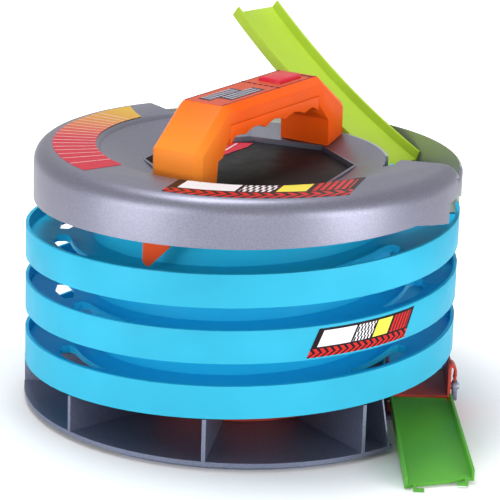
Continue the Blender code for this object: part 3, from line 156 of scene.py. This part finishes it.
# Edges and shading
SHARP_FROM = 32              # edges sharper than this are shaded sharp
EASE_FROM = 35               # edges sharper than this are eased
EASE_SEGMENTS = 2
MERGE = 2e-7                 # vertices nearer than this are one
FLAT_WITHIN = 0.4            # faces within this of each other are one
WIDE_FACET = 8.0             # a face that spans more of the turn than this is shaded flat
SAME_NORMAL = 0.99995        # normals whose product is over this are one
TRACK_EASE = 0.0004
EASED = {
    "handle_frame": 0.0007,
    "handle_grip": 0.0003,
    "push_button": 0.0002,
    "deck_panel": 0.0003,
    "launch_ramp": 0.0004,
    "exit_ramp": 0.0004,
    "exit_chute": 0.0003,
    "start_gate": 0.0003,
    "exit_lever": 0.0003,
}
TURNED = {"top_cover": SHELL_X, "entry_channel": SHELL_X, "base_tray": 0.0, "core_drum": 0.0}


def linear(r, g, b):
    """A colour as seen on a screen, 0 to 255, as the linear values that a shader takes."""
    def curve(value):
        value /= 255
        return value / 12.92 if value <= 0.04045 else ((value + 0.055) / 1.055) ** 2.4

    return (curve(r), curve(g), curve(b), 1.0)


def shaded(colour, share):
    """A colour made darker or paler."""
    return tuple(min(1, c * share) for c in colour[:3]) + (1,)


def steps(count):
    """The shares from 0 to 1, in so many steps."""
    return [i / count for i in range(count + 1)]


def part_way(start, end, share):
    return start + (end - start) * share


def placed(name, data):
    """A new object in the scene."""
    obj = bpy.data.objects.new(name, data)
    bpy.context.scene.collection.objects.link(obj)
    return obj


def smoothed(mesh):
    """Smooth shading, with its sharp edges kept."""
    mesh.shade_smooth()
    mesh.set_sharp_from_angle(angle=math.radians(SHARP_FROM))


def settle(obj, name):
    """Gives the object the plain mesh that its modifiers make, and removes them."""
    made = bpy.data.meshes.new_from_object(obj.evaluated_get(bpy.context.evaluated_depsgraph_get()))
    obj.modifiers.clear()
    obj.data = made
    made.name = name
    smoothed(made)
    return made


class Wire:
    """An output socket that can be used in an expression: each operator adds a Math node."""

    def __init__(self, owner, socket):
        self.owner = owner
        self.socket = socket

    def outputs(self):
        """A wire for every output of the same node."""
        return [Wire(self.owner, socket) for socket in self.socket.node.outputs]

    def __add__(self, other):
        return maths("ADD", self, other)

    __radd__ = __add__

    def __sub__(self, other):
        return maths("SUBTRACT", self, other)

    def __rsub__(self, other):
        return maths("SUBTRACT", other, self)

    def __mul__(self, other):
        return maths("MULTIPLY", self, other)

    __rmul__ = __mul__

    def __truediv__(self, other):
        return maths("DIVIDE", self, other)

    def __rtruediv__(self, other):
        return maths("DIVIDE", other, self)

    def __mod__(self, other):
        return maths("FLOORED_MODULO", self, other)

    def __gt__(self, other):
        return maths("GREATER_THAN", self, other)

    def __lt__(self, other):
        return maths("LESS_THAN", self, other)

    def __abs__(self):
        return maths("ABSOLUTE", self)


def maths(operation, *values):
    """A Math node on numbers and wires, in the tree of the first wire among them."""
    owner = next(value.owner for value in values if isinstance(value, Wire))
    return owner.add("ShaderNodeMath", {"operation": operation}, dict(enumerate(values)))


def within(value, low, high):
    """1 between the two, else 0."""
    return (value > low) * (value < high)


def stripes(value, share):
    """1 over a share of each whole step of the value, else 0."""
    return (value % 1.0) < share


class Tree:
    """A node tree to which nodes are added by type, settings and the values or wires of their sockets."""

    def __init__(self, tree):
        self.tree = tree

    def add(self, kind, settings=None, inputs=None, output=0):
        """One node, with its settings first, which may be a ramp's stops, and then its sockets."""
        node = self.tree.nodes.new(kind)
        for key, value in (settings or {}).items():
            if key == "stops":
                self.lay_stops(node.color_ramp.elements, value)
            else:
                setattr(node, key, value)
        for key, value in (inputs or {}).items():
            self.join(value, node.inputs[key])
        return Wire(self, node.outputs[output]) if len(node.outputs) else None

    def lay_stops(self, elements, stops):
        while len(elements) < len(stops):
            elements.new(0.5)
        for element, (at, colour) in zip(elements, stops):
            element.position = at
            element.color = colour

    def join(self, value, socket):
        """Feeds a socket with a value, a wire, or a list of wires where it takes several."""
        for one in value if isinstance(value, list) else [value]:
            if isinstance(one, Wire):
                self.tree.links.new(one.socket, socket)
            else:
                socket.default_value = one


class Finish(Tree):
    """One material. Constants go on the shader's own sockets."""

    def __init__(self, name, constants):
        self.material = bpy.data.materials.new(name)
        self.material.use_nodes = True
        super().__init__(self.material.node_tree)
        self.shader = self.tree.nodes["Principled BSDF"]
        for key, value in constants.items():
            self.shader.inputs[key].default_value = value
        self.place = self.add("ShaderNodeTexCoord", output="Object")

    def set(self, name, value):
        self.join(value, self.shader.inputs[name])

    def present(self, name):
        """The wire that feeds a socket of the shader now."""
        return Wire(self, self.shader.inputs[name].links[0].from_socket)

    def noise(self, scale, detail=2.0):
        inputs = {"Vector": self.place, "Scale": scale, "Detail": detail}
        return self.add("ShaderNodeTexNoise", inputs=inputs, output="Fac")

    def fade(self, value, low, high, start=0.0, end=1.0):
        """From start to end as the value goes from low to high."""
        inputs = {"Value": value, "From Min": low, "From Max": high, "To Min": start, "To Max": end}
        return self.add("ShaderNodeMapRange", inputs=inputs)

    def clouds(self, noise, start=0.0, end=1.0):
        """From start to end over the range in which most of a noise lies."""
        return self.fade(noise, 0.3, 0.7, start, end)

    def blend(self, factor, first, second):
        """A colour between two, each a colour or a wire."""
        inputs = {0: factor, 6: first, 7: second}
        return self.add("ShaderNodeMix", {"data_type": "RGBA"}, inputs, output=2)

    def axes(self, place):
        """The x, y and z of a vector."""
        return self.add("ShaderNodeSeparateXYZ", inputs={0: place}).outputs()

    def print_map(self):
        """The two coordinates of the piece's own UV map."""
        u, v, _ = self.axes(self.add("ShaderNodeUVMap", {"uv_map": "print"}))
        return (u, v)

    def bump(self, height, strength, distance=0.0002):
        inputs = {"Height": height, "Strength": strength, "Distance": distance}
        self.set("Normal", self.add("ShaderNodeBump", inputs=inputs))

    def film(self, cloud, low, high):
        """The slightly uneven gloss and the grain of a printed film."""
        self.set("Roughness", self.clouds(cloud, low, high))
        self.bump(self.noise(scale=900), 0.05, 0.0001)


class Growth(Tree):
    """A Geometry Nodes tree with named inputs for its sizes, made a plain mesh once."""

    def __init__(self, name, **sizes):
        super().__init__(bpy.data.node_groups.new(name, "GeometryNodeTree"))
        face = self.tree.interface
        face.new_socket("Geometry", in_out="OUTPUT", socket_type="NodeSocketGeometry")
        self.values = {}
        for key, value in sizes.items():
            kind = "NodeSocketInt" if isinstance(value, int) else "NodeSocketFloat"
            socket = face.new_socket(key, in_out="INPUT", socket_type=kind)
            self.values[socket.identifier] = value
        self.size = dict(zip(sizes, self.add("NodeGroupInput").outputs()))

    def vector(self, x, y, z):
        return self.add("ShaderNodeCombineXYZ", inputs={0: x, 1: y, 2: z})

    def index(self):
        return self.add("GeometryNodeInputIndex")

    def points(self, count, place):
        """A row of points, each put where a field of its index says."""
        row = self.add("GeometryNodeMeshLine", inputs={"Count": count})
        return self.add("GeometryNodeSetPosition", inputs={"Geometry": row, "Position": place})

    def block(self, length, width, height):
        return self.add("GeometryNodeMeshCube", inputs={"Size": self.vector(length, width, height)})

    def rod(self, radius, depth, sides, foot):
        """An upright cylinder that stands at a height."""
        inputs = {"Vertices": sides, "Radius": radius, "Depth": depth}
        made = self.add("GeometryNodeMeshCylinder", {"fill_type": "NGON"}, inputs)
        lift = self.vector(0.0, 0.0, depth / 2 + foot)
        return self.add("GeometryNodeTransform", inputs={"Geometry": made, "Translation": lift})

    def cut(self, shape, tool):
        settings = {"operation": "DIFFERENCE", "solver": "EXACT"}
        return self.add("GeometryNodeMeshBoolean", settings, {"Mesh 1": shape, "Mesh 2": tool})

    def grow(self, points, shape, turn, finish, body, slot):
        """One piece of all the copies of a shape on the points."""
        inputs = {"Points": points, "Instance": shape, "Rotation": self.vector(0.0, 0.0, turn)}
        copies = self.add("GeometryNodeInstanceOnPoints", inputs=inputs)
        whole = self.add("GeometryNodeRealizeInstances", inputs={"Geometry": copies})
        inputs = {"Geometry": whole, "Material": finish.material}
        painted = self.add("GeometryNodeSetMaterial", inputs=inputs)
        self.add("NodeGroupOutput", inputs={0: painted})
        name = self.tree.name
        obj = placed(name, bpy.data.meshes.new(name + "_seed"))
        modifier = obj.modifiers.new(name, "NODES")
        modifier.node_group = self.tree
        for key, value in self.values.items():
            modifier[key] = value
        settle(obj, name)
        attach(obj, body)
        return obj


def moulded(name, colour, roughness, grain=0.10, shine=0.5):
    """Moulded plastic: slight flow variation in colour and gloss, and a fine surface grain."""
    finish = Finish(name, {"Specular IOR Level": shine})
    flow = finish.noise(scale=18, detail=3)
    fine = finish.noise(scale=1400)
    scuffs = finish.noise(scale=90, detail=4)
    finish.set("Base Color", finish.blend(finish.clouds(flow), shaded(colour, 0.9), shaded(colour, 1.05)))
    gloss = finish.fade(scuffs, 0.35, 0.75, roughness - 0.03, roughness + 0.06)
    finish.set("Roughness", gloss + fine * 0.04)
    finish.bump(fine, grain)
    return finish


def silver_paint(name, pale, dark, metal):
    """Silver plastic with fine metal flake under a soft gloss."""
    finish = Finish(name, {"Coat Weight": 0.1, "Coat Roughness": 0.35})
    inputs = {"Vector": finish.place, "Scale": 2600}
    flakes = finish.add("ShaderNodeTexVoronoi", inputs=inputs, output="Color")
    flake = finish.add("ShaderNodeSeparateColor", inputs={0: flakes})
    cloud = finish.noise(scale=14, detail=3)
    colour = finish.blend(flake, dark, pale)
    finish.set("Base Color", finish.blend(finish.clouds(cloud, 0, 0.25), colour, dark))
    finish.set("Metallic", finish.fade(flake, 0, 1, metal - 0.06, metal + 0.06))
    finish.set("Roughness", finish.clouds(cloud, 0.38, 0.43) + flake * 0.03)
    finish.bump(flake, 0.02, 0.0001)
    return finish


def handle_plastic():
    """The handle's orange, with painted light: a little yellower at its near leg, where the key light falls
    on its front.
    """
    finish = moulded("handle_orange", linear(250, 94, 16), 0.42, shine=0.14)
    x, y, _ = finish.axes(finish.place)
    along = (x - COVER_X) * HANDLE_COS + y * HANDLE_SIN
    # Painted light: the near leg is blended towards a paler, yellower orange, as if lit by the key light.
    lit_near_leg = finish.fade(along, -44 * MM, -82 * MM)
    finish.set("Base Color", finish.blend(lit_near_leg, finish.present("Base Color"), linear(244, 138, 44)))
    return finish


def track_plastic():
    """The track's blue, with painted light: the outer faces of the walls paler, as if lit, than the lanes.
    """
    finish = moulded("track_blue", linear(54, 175, 209), 0.42, shine=0.08)
    x, y, _ = finish.axes(finish.place)
    radius = maths("SQRT", x * x + y * y)
    # Painted light: the outer face of each wall gets a paler, brighter blue than the lanes.
    lit_outer_face = finish.fade(radius, TRACK_R - 1.0 * MM, TRACK_R - 0.6 * MM)
    finish.set("Base Color", finish.blend(lit_outer_face, linear(38, 196, 240), finish.present("Base Color")))
    return finish


def machined():
    """Bright steel with fine turning marks."""
    finish = Finish("bright_steel", {"Metallic": 1.0})
    marks = finish.noise(scale=1800, detail=1)
    finish.set("Base Color", finish.blend(marks, linear(160, 162, 168), linear(205, 206, 210)))
    finish.set("Roughness", finish.clouds(marks, 0.22, 0.38))
    finish.bump(marks, 0.1)
    return finish


def gauge_print():
    """The gauge's sweep from red at the front to yellow."""
    finish = Finish("gauge_print", {"Specular IOR Level": PRINT_SHINE})
    x, y, _ = finish.axes(finish.place)
    from_left = maths("ARCTAN2", y, COVER_X - x) * (180 / math.pi)
    along = finish.fade(from_left, -180 - GAUGE_NEAR, -180 - GAUGE_YELLOW)
    stops = [
        (0.0, linear(200, 22, 52)),
        (0.46, linear(200, 30, 56)),
        (0.62, linear(208, 92, 62)),
        (0.80, linear(212, 140, 52)),
        (1.0, linear(216, 176, 52)),
    ]
    finish.set("Base Color", finish.add("ShaderNodeValToRGB", {"stops": stops}, {0: along}))
    finish.film(finish.noise(scale=300), 0.30, 0.38)
    return finish


def plain_print(name, colour):
    """Ink or paper of a sticker."""
    finish = Finish(name, {"Specular IOR Level": PRINT_SHINE})
    cloud = finish.noise(scale=200, detail=3)
    finish.set("Base Color", finish.blend(finish.clouds(cloud), colour, shaded(colour, 0.9)))
    finish.film(cloud, 0.32, 0.40)
    return finish


def label_print(name, ground, bar):
    """A generic label: three rows of slanted bars."""
    finish = Finish(name, {"Specular IOR Level": PRINT_SHINE})
    u, v = finish.print_map()
    rows = v * 3.0
    slanted = stripes(u * 9.0 + v * 1.6 + maths("FLOOR", rows) * 0.37, 0.55)
    inside = within(u, 0.05, 0.95) * (v > 0.12) * ((rows % 1.0) > 0.36)
    finish.set("Base Color", finish.blend(slanted * inside, ground, bar))
    finish.film(finish.noise(scale=300), 0.32, 0.40)
    return finish


def race_print(name, ink, white, yellow, red):
    """A generic sticker: blocks, a chequer and bars over a row of chevrons."""
    finish = Finish(name, {"Specular IOR Level": PRINT_SHINE})
    u, v = finish.print_map()
    upper = within(v, 0.36, 0.92)
    chequer = ((u * 60 - maths("FLOOR", v * 6)) % 2.0) < 1.0
    colour = ink
    for mask, paint in (
        (stripes(u * 16 + abs(v - 0.15) * 5, 0.55) * (v < 0.30), red),
        (upper * within(u, 0.05, 0.36), white),
        (upper * within(u, 0.38, 0.56) * chequer, white),
        (upper * within(u, 0.58, 0.74), yellow),
        (upper * within(u, 0.76, 0.97) * stripes(u * 26, 0.62), red),
    ):
        colour = finish.blend(mask, colour, paint)
    finish.set("Base Color", colour)
    finish.film(finish.noise(scale=300), 0.28, 0.36)
    return finish


def seen_ray(tree):
    """1 for a ray from the camera, or one that metal or glass sends on, else 0."""
    seen = tree.add("ShaderNodeLightPath", output="Is Camera Ray")
    for name in ("Is Glossy Ray", "Is Transmission Ray"):
        seen = maths("MAXIMUM", seen, tree.add("ShaderNodeLightPath", output=name))
    return seen


def soft_floor():
    """A pale floor that keeps the object's shadow and reads white to the camera."""
    finish = Finish("pale_floor", {"Roughness": 0.9})
    cloud = finish.noise(scale=3)
    finish.set("Base Color", finish.blend(cloud, (0.94, 0.94, 0.945, 1), (0.96, 0.96, 0.96, 1)))
    away = finish.add("ShaderNodeVectorMath", {"operation": "LENGTH"}, {0: finish.place}, output=1)
    strength = seen_ray(finish) * finish.fade(away, GLOW_FROM, GLOW_FULL, 0.0, FLOOR_GLOW)
    glow = finish.add("ShaderNodeEmission", inputs={"Color": WHITE, "Strength": strength})
    plain = Wire(finish, finish.shader.outputs[0])
    both = finish.add("ShaderNodeAddShader", inputs={0: plain, 1: glow})
    finish.join(both, finish.tree.nodes["Material Output"].inputs[0])
    return finish


BLUE = track_plastic()
SILVER = silver_paint("silver_paint", linear(134, 134, 149), linear(112, 112, 129), 0.88)
# The entry channel's silver has a greenish tint, a painted reflection of the lime ramp beside it.
CHANNEL_PAINTED_REFLECTION = silver_paint("channel_paint", linear(178, 188, 180), linear(156, 166, 158), 0.5)
GREY = silver_paint("base_grey", linear(138, 144, 166), linear(104, 110, 132), 0.80)
ORANGE = handle_plastic()
GATE = moulded("gate_orange", linear(234, 84, 36), 0.42, shine=0.3)
CORE = moulded("core_orange", linear(178, 48, 24), 0.46)
CRIMSON = moulded("button_crimson", linear(214, 34, 60), 0.34, shine=0.25)
LIME = moulded("ramp_lime", linear(176, 208, 62), 0.38, shine=0.25)
GREEN = moulded("exit_green", linear(84, 158, 52), 0.38, shine=0.25)
CHARCOAL = moulded("panel_charcoal", linear(24, 22, 24), 0.5, grain=0.2, shine=0.12)
BOARD = moulded("board_green", linear(30, 96, 56), 0.5)
STEEL = machined()
GAUGE = gauge_print()
PAPER = plain_print("sticker_paper", linear(238, 214, 214))
INK = plain_print("sticker_ink", linear(52, 24, 30))
RED_INK = plain_print("sticker_red", linear(214, 22, 58))
TOP_PRINT = plain_print("handle_top_print", linear(214, 84, 56))
LABEL = label_print("label_print", linear(46, 46, 66), linear(206, 200, 212))
RACE = race_print(
    "race_print", linear(34, 24, 28), linear(238, 236, 240), linear(240, 226, 84), linear(206, 40, 40)
)

FINISHES = {
    "track": BLUE,
    "silver": SILVER,
    "base": GREY,
    "orange": ORANGE,
    "red": CRIMSON,
    "green": LIME,
    "dark": CHARCOAL,
    "board": BOARD,
    "steel": STEEL,
}
OWN_FINISH = {
    "core_drum": CORE,
    "exit_chute": CORE,
    "exit_ramp": GREEN,
    "entry_channel": CHANNEL_PAINTED_REFLECTION,
    "start_gate": GATE,
}


def finish_of(node):
    """A node's own finish, or that of its slot."""
    return OWN_FINISH.get(node) or FINISHES[SLOT_OF[node]]


def dress_nodes():
    """Gives every CAD node its finish."""
    for name, obj in frame["nodes"].items():
        for slot in obj.material_slots:
            slot.material = finish_of(name).material


def turned_normals(mesh, axis_x):
    """Shading that follows a turned form: each corner's normal is turned about the axis to its vertex.

    At a vertex, the turned normals that lie near each other are averaged.
    """
    def direction(point):
        return math.atan2(point.y, point.x - axis_x)

    meeting = [[] for _ in mesh.vertices]
    corners = []
    for face in mesh.polygons:
        middle = direction(face.center)
        turns = [direction(mesh.vertices[index].co) - middle for index in face.vertices]
        turns = [(turn + math.pi) % math.tau - math.pi for turn in turns]
        wide = math.degrees(max(turns) - min(turns)) > WIDE_FACET
        for index, loop, turn in zip(face.vertices, face.loop_indices, turns):
            normal = face.normal.copy()
            if not wide:
                normal.rotate(Matrix.Rotation(turn, 3, "Z"))
            corners.append((loop, index, normal))
            if all(normal.dot(other) < SAME_NORMAL for other in meeting[index]):
                meeting[index].append(normal)
    near = math.cos(math.radians(SHARP_FROM))
    normals = [None] * len(mesh.loops)
    for loop, index, normal in corners:
        total = Vector((0, 0, 0))
        for other in meeting[index]:
            if normal.dot(other) > near:
                total += other
        normals[loop] = tuple(total.normalized())
    mesh.normals_split_custom_set(normals)


def softened(node, bevel=0.0, round_axis=None):
    """A copy of a node with its triangles merged, its edges eased and its curves shaded smooth."""
    bm = bmesh.new()
    bm.from_mesh(frame["nodes"][node].data)
    bmesh.ops.remove_doubles(bm, verts=bm.verts, dist=MERGE)
    bmesh.ops.dissolve_limit(bm, angle_limit=math.radians(FLAT_WITHIN), verts=bm.verts, edges=bm.edges)
    mesh = bpy.data.meshes.new(node + "_merged")
    bm.to_mesh(mesh)
    bm.free()
    obj = placed(node + "_soft", mesh)
    if bevel:
        ease = obj.modifiers.new("ease", "BEVEL")
        ease.width = bevel
        ease.segments = EASE_SEGMENTS
        ease.limit_method = "ANGLE"
        ease.angle_limit = math.radians(EASE_FROM)
        ease.use_clamp_overlap = True
    made = settle(obj, node + "_soft")
    made.materials.append(finish_of(node).material)
    if round_axis is not None:
        turned_normals(made, round_axis)
    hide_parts(node)
    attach(obj, BODY_OF[node])


def polar(radius, degrees, z, x=0.0):
    """A place at a radius and an angle round an upright axis, which may stand to one side."""
    a = math.radians(degrees)
    return Vector((x + radius * math.cos(a), radius * math.sin(a), z))


def sheet_on(name, rows, finish, body, gap=None):
    """A thin sticker on a grid of points, given row by row. A gap is one cell, (row, column), left out."""
    bm = bmesh.new()
    print_map = bm.loops.layers.uv.new("print")
    grid = [[bm.verts.new(point) for point in row] for row in rows]
    across = len(rows) - 1
    along = len(rows[0]) - 1
    for i in range(across):
        for j in range(along):
            if (i, j) == gap:
                continue
            corners = ((i, j), (i, j + 1), (i + 1, j + 1), (i + 1, j))
            face = bm.faces.new([grid[a][b] for a, b in corners])
            for loop, (a, b) in zip(face.loops, corners):
                loop[print_map].uv = (b / along, a / across)
    bm.normal_update()
    bmesh.ops.solidify(bm, geom=bm.faces[:], thickness=STICKER)
    bmesh.ops.recalc_face_normals(bm, faces=bm.faces)
    mesh = bpy.data.meshes.new(name)
    bm.to_mesh(mesh)
    bm.free()
    obj = placed(name, mesh)
    mesh.materials.append(finish.material)
    smoothed(mesh)
    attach(obj, body)


def gauge_sticker():
    """The gauge on the cover's top, with a slanted far end and pale ticks spread along it."""
    z = COVER_TOP + LIFT + STICKER
    rows = []
    for radius, share in zip(GAUGE_RADII, steps(len(GAUGE_RADII) - 1)):
        far = part_way(GAUGE_FAR_INNER, GAUGE_FAR_OUTER, share)
        rows.append([polar(radius, part_way(GAUGE_NEAR, far, along), z, COVER_X) for along in steps(60)])
    sheet_on("cover_gauge_sticker", rows, GAUGE, "base")
    ticks = Growth(
        "gauge_ticks", count=17, first=math.radians(TICKS_FROM), sweep=math.radians(TICKS_SWEEP),
        closing=0.86, inner=GAUGE_RADII[0] + TICK_INSET, outer=GAUGE_RADII[-1] - TICK_INSET,
        width=0.00055, thick=STICKER * 0.8, level=z + STICKER * 0.4,
    )
    size = ticks.size
    share = ticks.index() / (size["count"] - 1)
    angle = size["first"] + size["sweep"] * maths("POWER", share, size["closing"])
    middle = (size["inner"] + size["outer"]) / 2
    x = COVER_X + middle * maths("COSINE", angle)
    place = ticks.vector(x, middle * maths("SINE", angle), size["level"])
    bar = ticks.block(size["outer"] - size["inner"], size["width"], size["thick"])
    ticks.grow(ticks.points(size["count"], place), bar, angle, PAPER, "base", "silver")


def cover_sticker():
    """A slanted band laid over the cover's top and shoulder, in front of the recess."""
    mesh = frame["nodes"]["top_cover"].data
    cover = BVHTree.FromPolygons([v.co for v in mesh.vertices], [tuple(p.vertices) for p in mesh.polygons])
    down = Vector((0, 0, -1))
    off = Vector((0, 0, LIFT + STICKER))
    rows = []
    for up in steps(24):
        left, middle, right = (part_way(near, far, up) for near, far in zip(BAND_NEAR, BAND_FAR))
        row = []
        for along in steps(96):
            bow = 4 * along * (1 - along)
            x, y = part_way(left, right, along) + bow * (middle - (left + right) / 2)
            hit, _, _, _ = cover.ray_cast(Vector((x, y, ABOVE_COVER)), down)
            row.append(hit + off)
        rows.append(row)
    sheet_on("cover_race_sticker", rows, RACE, "base")


def track_sticker():
    """On the outer wall of the middle turn, following its fall."""
    radius = TRACK_R + LIFT + STICKER
    rows = []
    for up in steps(2):
        row = []
        for along in steps(30):
            angle = part_way(part_way(*TURN_LEFT, up), part_way(*TURN_RIGHT, up), along)
            foot = WALL_FOOT + TRACK_PITCH * (angle - FRONT) / 360
            row.append(polar(radius, angle, foot + part_way(*TURN_HEIGHT, up)))
        rows.append(row)
    sheet_on("track_race_sticker", rows, RACE, "base")


def on_handle(along, across, z):
    """A place on the handle, from its middle."""
    x = COVER_X + along * HANDLE_COS - across * HANDLE_SIN
    y = along * HANDLE_SIN + across * HANDLE_COS
    return Vector((x, y, z))


def handle_grid(places_along, places_across, z):
    return [[on_handle(u * MM, v * MM, z) for u in places_along] for v in places_across]


def dash_row(name, start, way, ends, count, length, width):
    """A row of dashes on the handle's top, from a place out to both sides along a direction."""
    first, last = ends
    row = Growth(
        name, count=count, first=first * MM, last=last * MM, length=length * MM, width=width * MM,
        thick=STICKER, level=start.z,
    )
    size = row.size
    run = size["first"] + (size["last"] - size["first"]) * row.index() / (size["count"] - 1)
    place = row.vector(start.x + run * way[0], start.y + run * way[1], size["level"])
    bar = row.block(size["length"], size["width"], size["thick"])
    row.grow(row.points(size["count"], place), bar, math.atan2(way[1], way[0]), INK, "base", "orange")


def handle_prints():
    """The print on the handle's top round the button, its two labels and its dashes."""
    z = HANDLE_TOP + LIFT + STICKER
    left, right = TOP_PRINT_ENDS
    half_length, half_width = BUTTON_ROOM
    print_grid = handle_grid(
        (left, BUTTON_AT - half_length, BUTTON_AT + half_length, right),
        (-TOP_PRINT_HALF, -half_width, half_width, TOP_PRINT_HALF),
        z,
    )
    sheet_on("handle_top_sticker", print_grid, TOP_PRINT, "base", gap=(1, 1))
    level = z + STICKER + LIFT
    for name, places_along, places_across in LABELS:
        sheet_on(name, handle_grid(places_along, places_across, level), LABEL, "base")
    crosswise = (-HANDLE_SIN, HANDLE_COS)
    for name, along, half, count in SHORT_ROWS:
        start = on_handle(along * MM, 0, level)
        dash_row(name, start, crosswise, (-half, half), count, length=3.0, width=1.1)
    lengthwise = (HANDLE_COS, HANDLE_SIN)
    for name, across in LONG_ROWS:
        start = on_handle(0, across * MM, level)
        dash_row(name, start, lengthwise, LONG_ROW_ENDS, LONG_ROW_DASHES, length=1.5, width=0.4)


def panel_needle():
    """A red pointer on the dark panel in the recess, with a pale strip along it that is a painted highlight.
    """
    def on_panel(x, y, z):
        return Vector((x * MM, y * MM, z))

    z = PANEL_TOP + LIFT + STICKER
    rows = [[on_panel(x + side * wide, y, z) for x, y, wide in POINTER] for side in (-0.5, 0, 0.5)]
    sheet_on("panel_pointer", rows, RED_INK, "base")
    # The pale strip is a painted highlight on the pointer.
    level = z + STICKER + LIFT
    rows = [[on_panel(x + off, y, level) for x, y in POINTER_HIGHLIGHT] for off in (-POINTER_HIGHLIGHT_HALF, POINTER_HIGHLIGHT_HALF)]
    sheet_on("panel_pointer_line", rows, PAPER, "base")


def screws(name, nodes, centre_x):
    """Round-head screws with a crossed slot, in place of plain ones that stand evenly round a centre."""
    low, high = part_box(nodes[0])
    x, y, _ = middle_of(nodes[0])
    made = Growth(
        name, count=len(nodes), centre=centre_x, orbit=math.hypot(x - centre_x, y),
        first=math.atan2(y, x - centre_x), foot=low[2], length=high[2] - low[2],
        head_radius=(high[0] - low[0]) / 2, head=0.0020, head_sides=28,
        shank_radius=0.0015, shank_sides=20, slot=0.0011, slot_length=0.0040,
    )
    size = made.size
    angle = size["first"] + made.index() * math.tau / size["count"]
    x = size["centre"] + size["orbit"] * maths("COSINE", angle)
    y = size["orbit"] * maths("SINE", angle)
    points = made.points(size["count"], made.vector(x, y, size["foot"]))
    head = made.rod(size["head_radius"], size["head"], size["head_sides"], 0.0)
    for long, wide in (("slot_length", "slot"), ("slot", "slot_length")):
        head = made.cut(head, made.block(size[long], size[wide], size["head"]))
    rest = size["length"] - size["head"]
    shank = made.rod(size["shank_radius"], rest, size["shank_sides"], size["head"])
    both = made.add("GeometryNodeJoinGeometry", inputs={0: [head, shank]})
    piece_made = made.grow(points, both, angle, STEEL, "base", "steel")
    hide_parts(*nodes)


def floor():
    """The pale floor under the object."""
    bm = bmesh.new()
    bmesh.ops.create_grid(bm, x_segments=1, y_segments=1, size=FLOOR_REACH)
    mesh = bpy.data.meshes.new("floor")
    bm.to_mesh(mesh)
    bm.free()
    mesh.materials.append(soft_floor().material)
    placed("floor", mesh)


def surround():
    """A world that lights the object at its own level, and is pale to the camera and in reflections."""
    world = bpy.data.worlds.new("studio")
    bpy.context.scene.world = world
    world.use_nodes = True
    tree = Tree(world.node_tree)
    light = tree.add("ShaderNodeBackground", inputs={"Color": WHITE, "Strength": WORLD_LIGHT})
    backdrop = tree.add("ShaderNodeBackground", inputs={"Color": BACKDROP, "Strength": 1.0})
    both = tree.add("ShaderNodeMixShader", inputs={0: seen_ray(tree), 1: light, 2: backdrop})
    tree.join(both, world.node_tree.nodes["World Output"].inputs[0])


def lamps():
    """The lamps, each turned to the object's middle."""
    for name, place, size, power in LAMPS:
        light = bpy.data.lights.new(name, "AREA")
        light.shape = "RECTANGLE"
        light.size, light.size_y = size
        light.energy = power
        turn = (LAMP_AIM - Vector(place)).to_track_quat("-Z", "Y").to_matrix().to_4x4()
        placed(name, light).matrix_world = Matrix.Translation(place) @ turn


def camera():
    """The photograph's camera, level and ahead first, and then rolled."""
    yaw, pitch, roll = CAMERA_YAW, CAMERA_PITCH, CAMERA_ROLL
    ahead = Vector((math.sin(yaw) * math.cos(pitch), math.cos(yaw) * math.cos(pitch), -math.sin(pitch)))
    level = Vector((math.cos(yaw), -math.sin(yaw), 0))
    upright = level.cross(ahead)
    right = math.cos(roll) * level + math.sin(roll) * upright
    up = math.cos(roll) * upright - math.sin(roll) * level
    data = bpy.data.cameras.new("camera")
    data.sensor_width = CAMERA_SENSOR
    data.lens = CAMERA_LENS
    data.clip_end = CAMERA_REACH
    obj = placed("camera", data)
    obj.matrix_world = Matrix.Translation(CAMERA_AT) @ Matrix((right, up, -ahead)).transposed().to_4x4()
    bpy.context.scene.camera = obj


bpy.context.scene.view_settings.view_transform = "Standard"
camera()
floor()
surround()
lamps()
dress_nodes()
for tier in ("upper", "middle", "lower"):
    for half in ("front", "rear"):
        softened(f"track_{tier}_{half}", TRACK_EASE, round_axis=0.0)
for node, axis in TURNED.items():
    softened(node, round_axis=axis)
for node, ease in EASED.items():
    softened(node, ease)
gauge_sticker()
cover_sticker()
track_sticker()
handle_prints()
panel_needle()
screws("base_screws", [f"base_screw_{i}" for i in (1, 2, 3, 4)], 0.0)
screws("handle_screws", ["handle_screw_1", "handle_screw_2"], COVER_X)
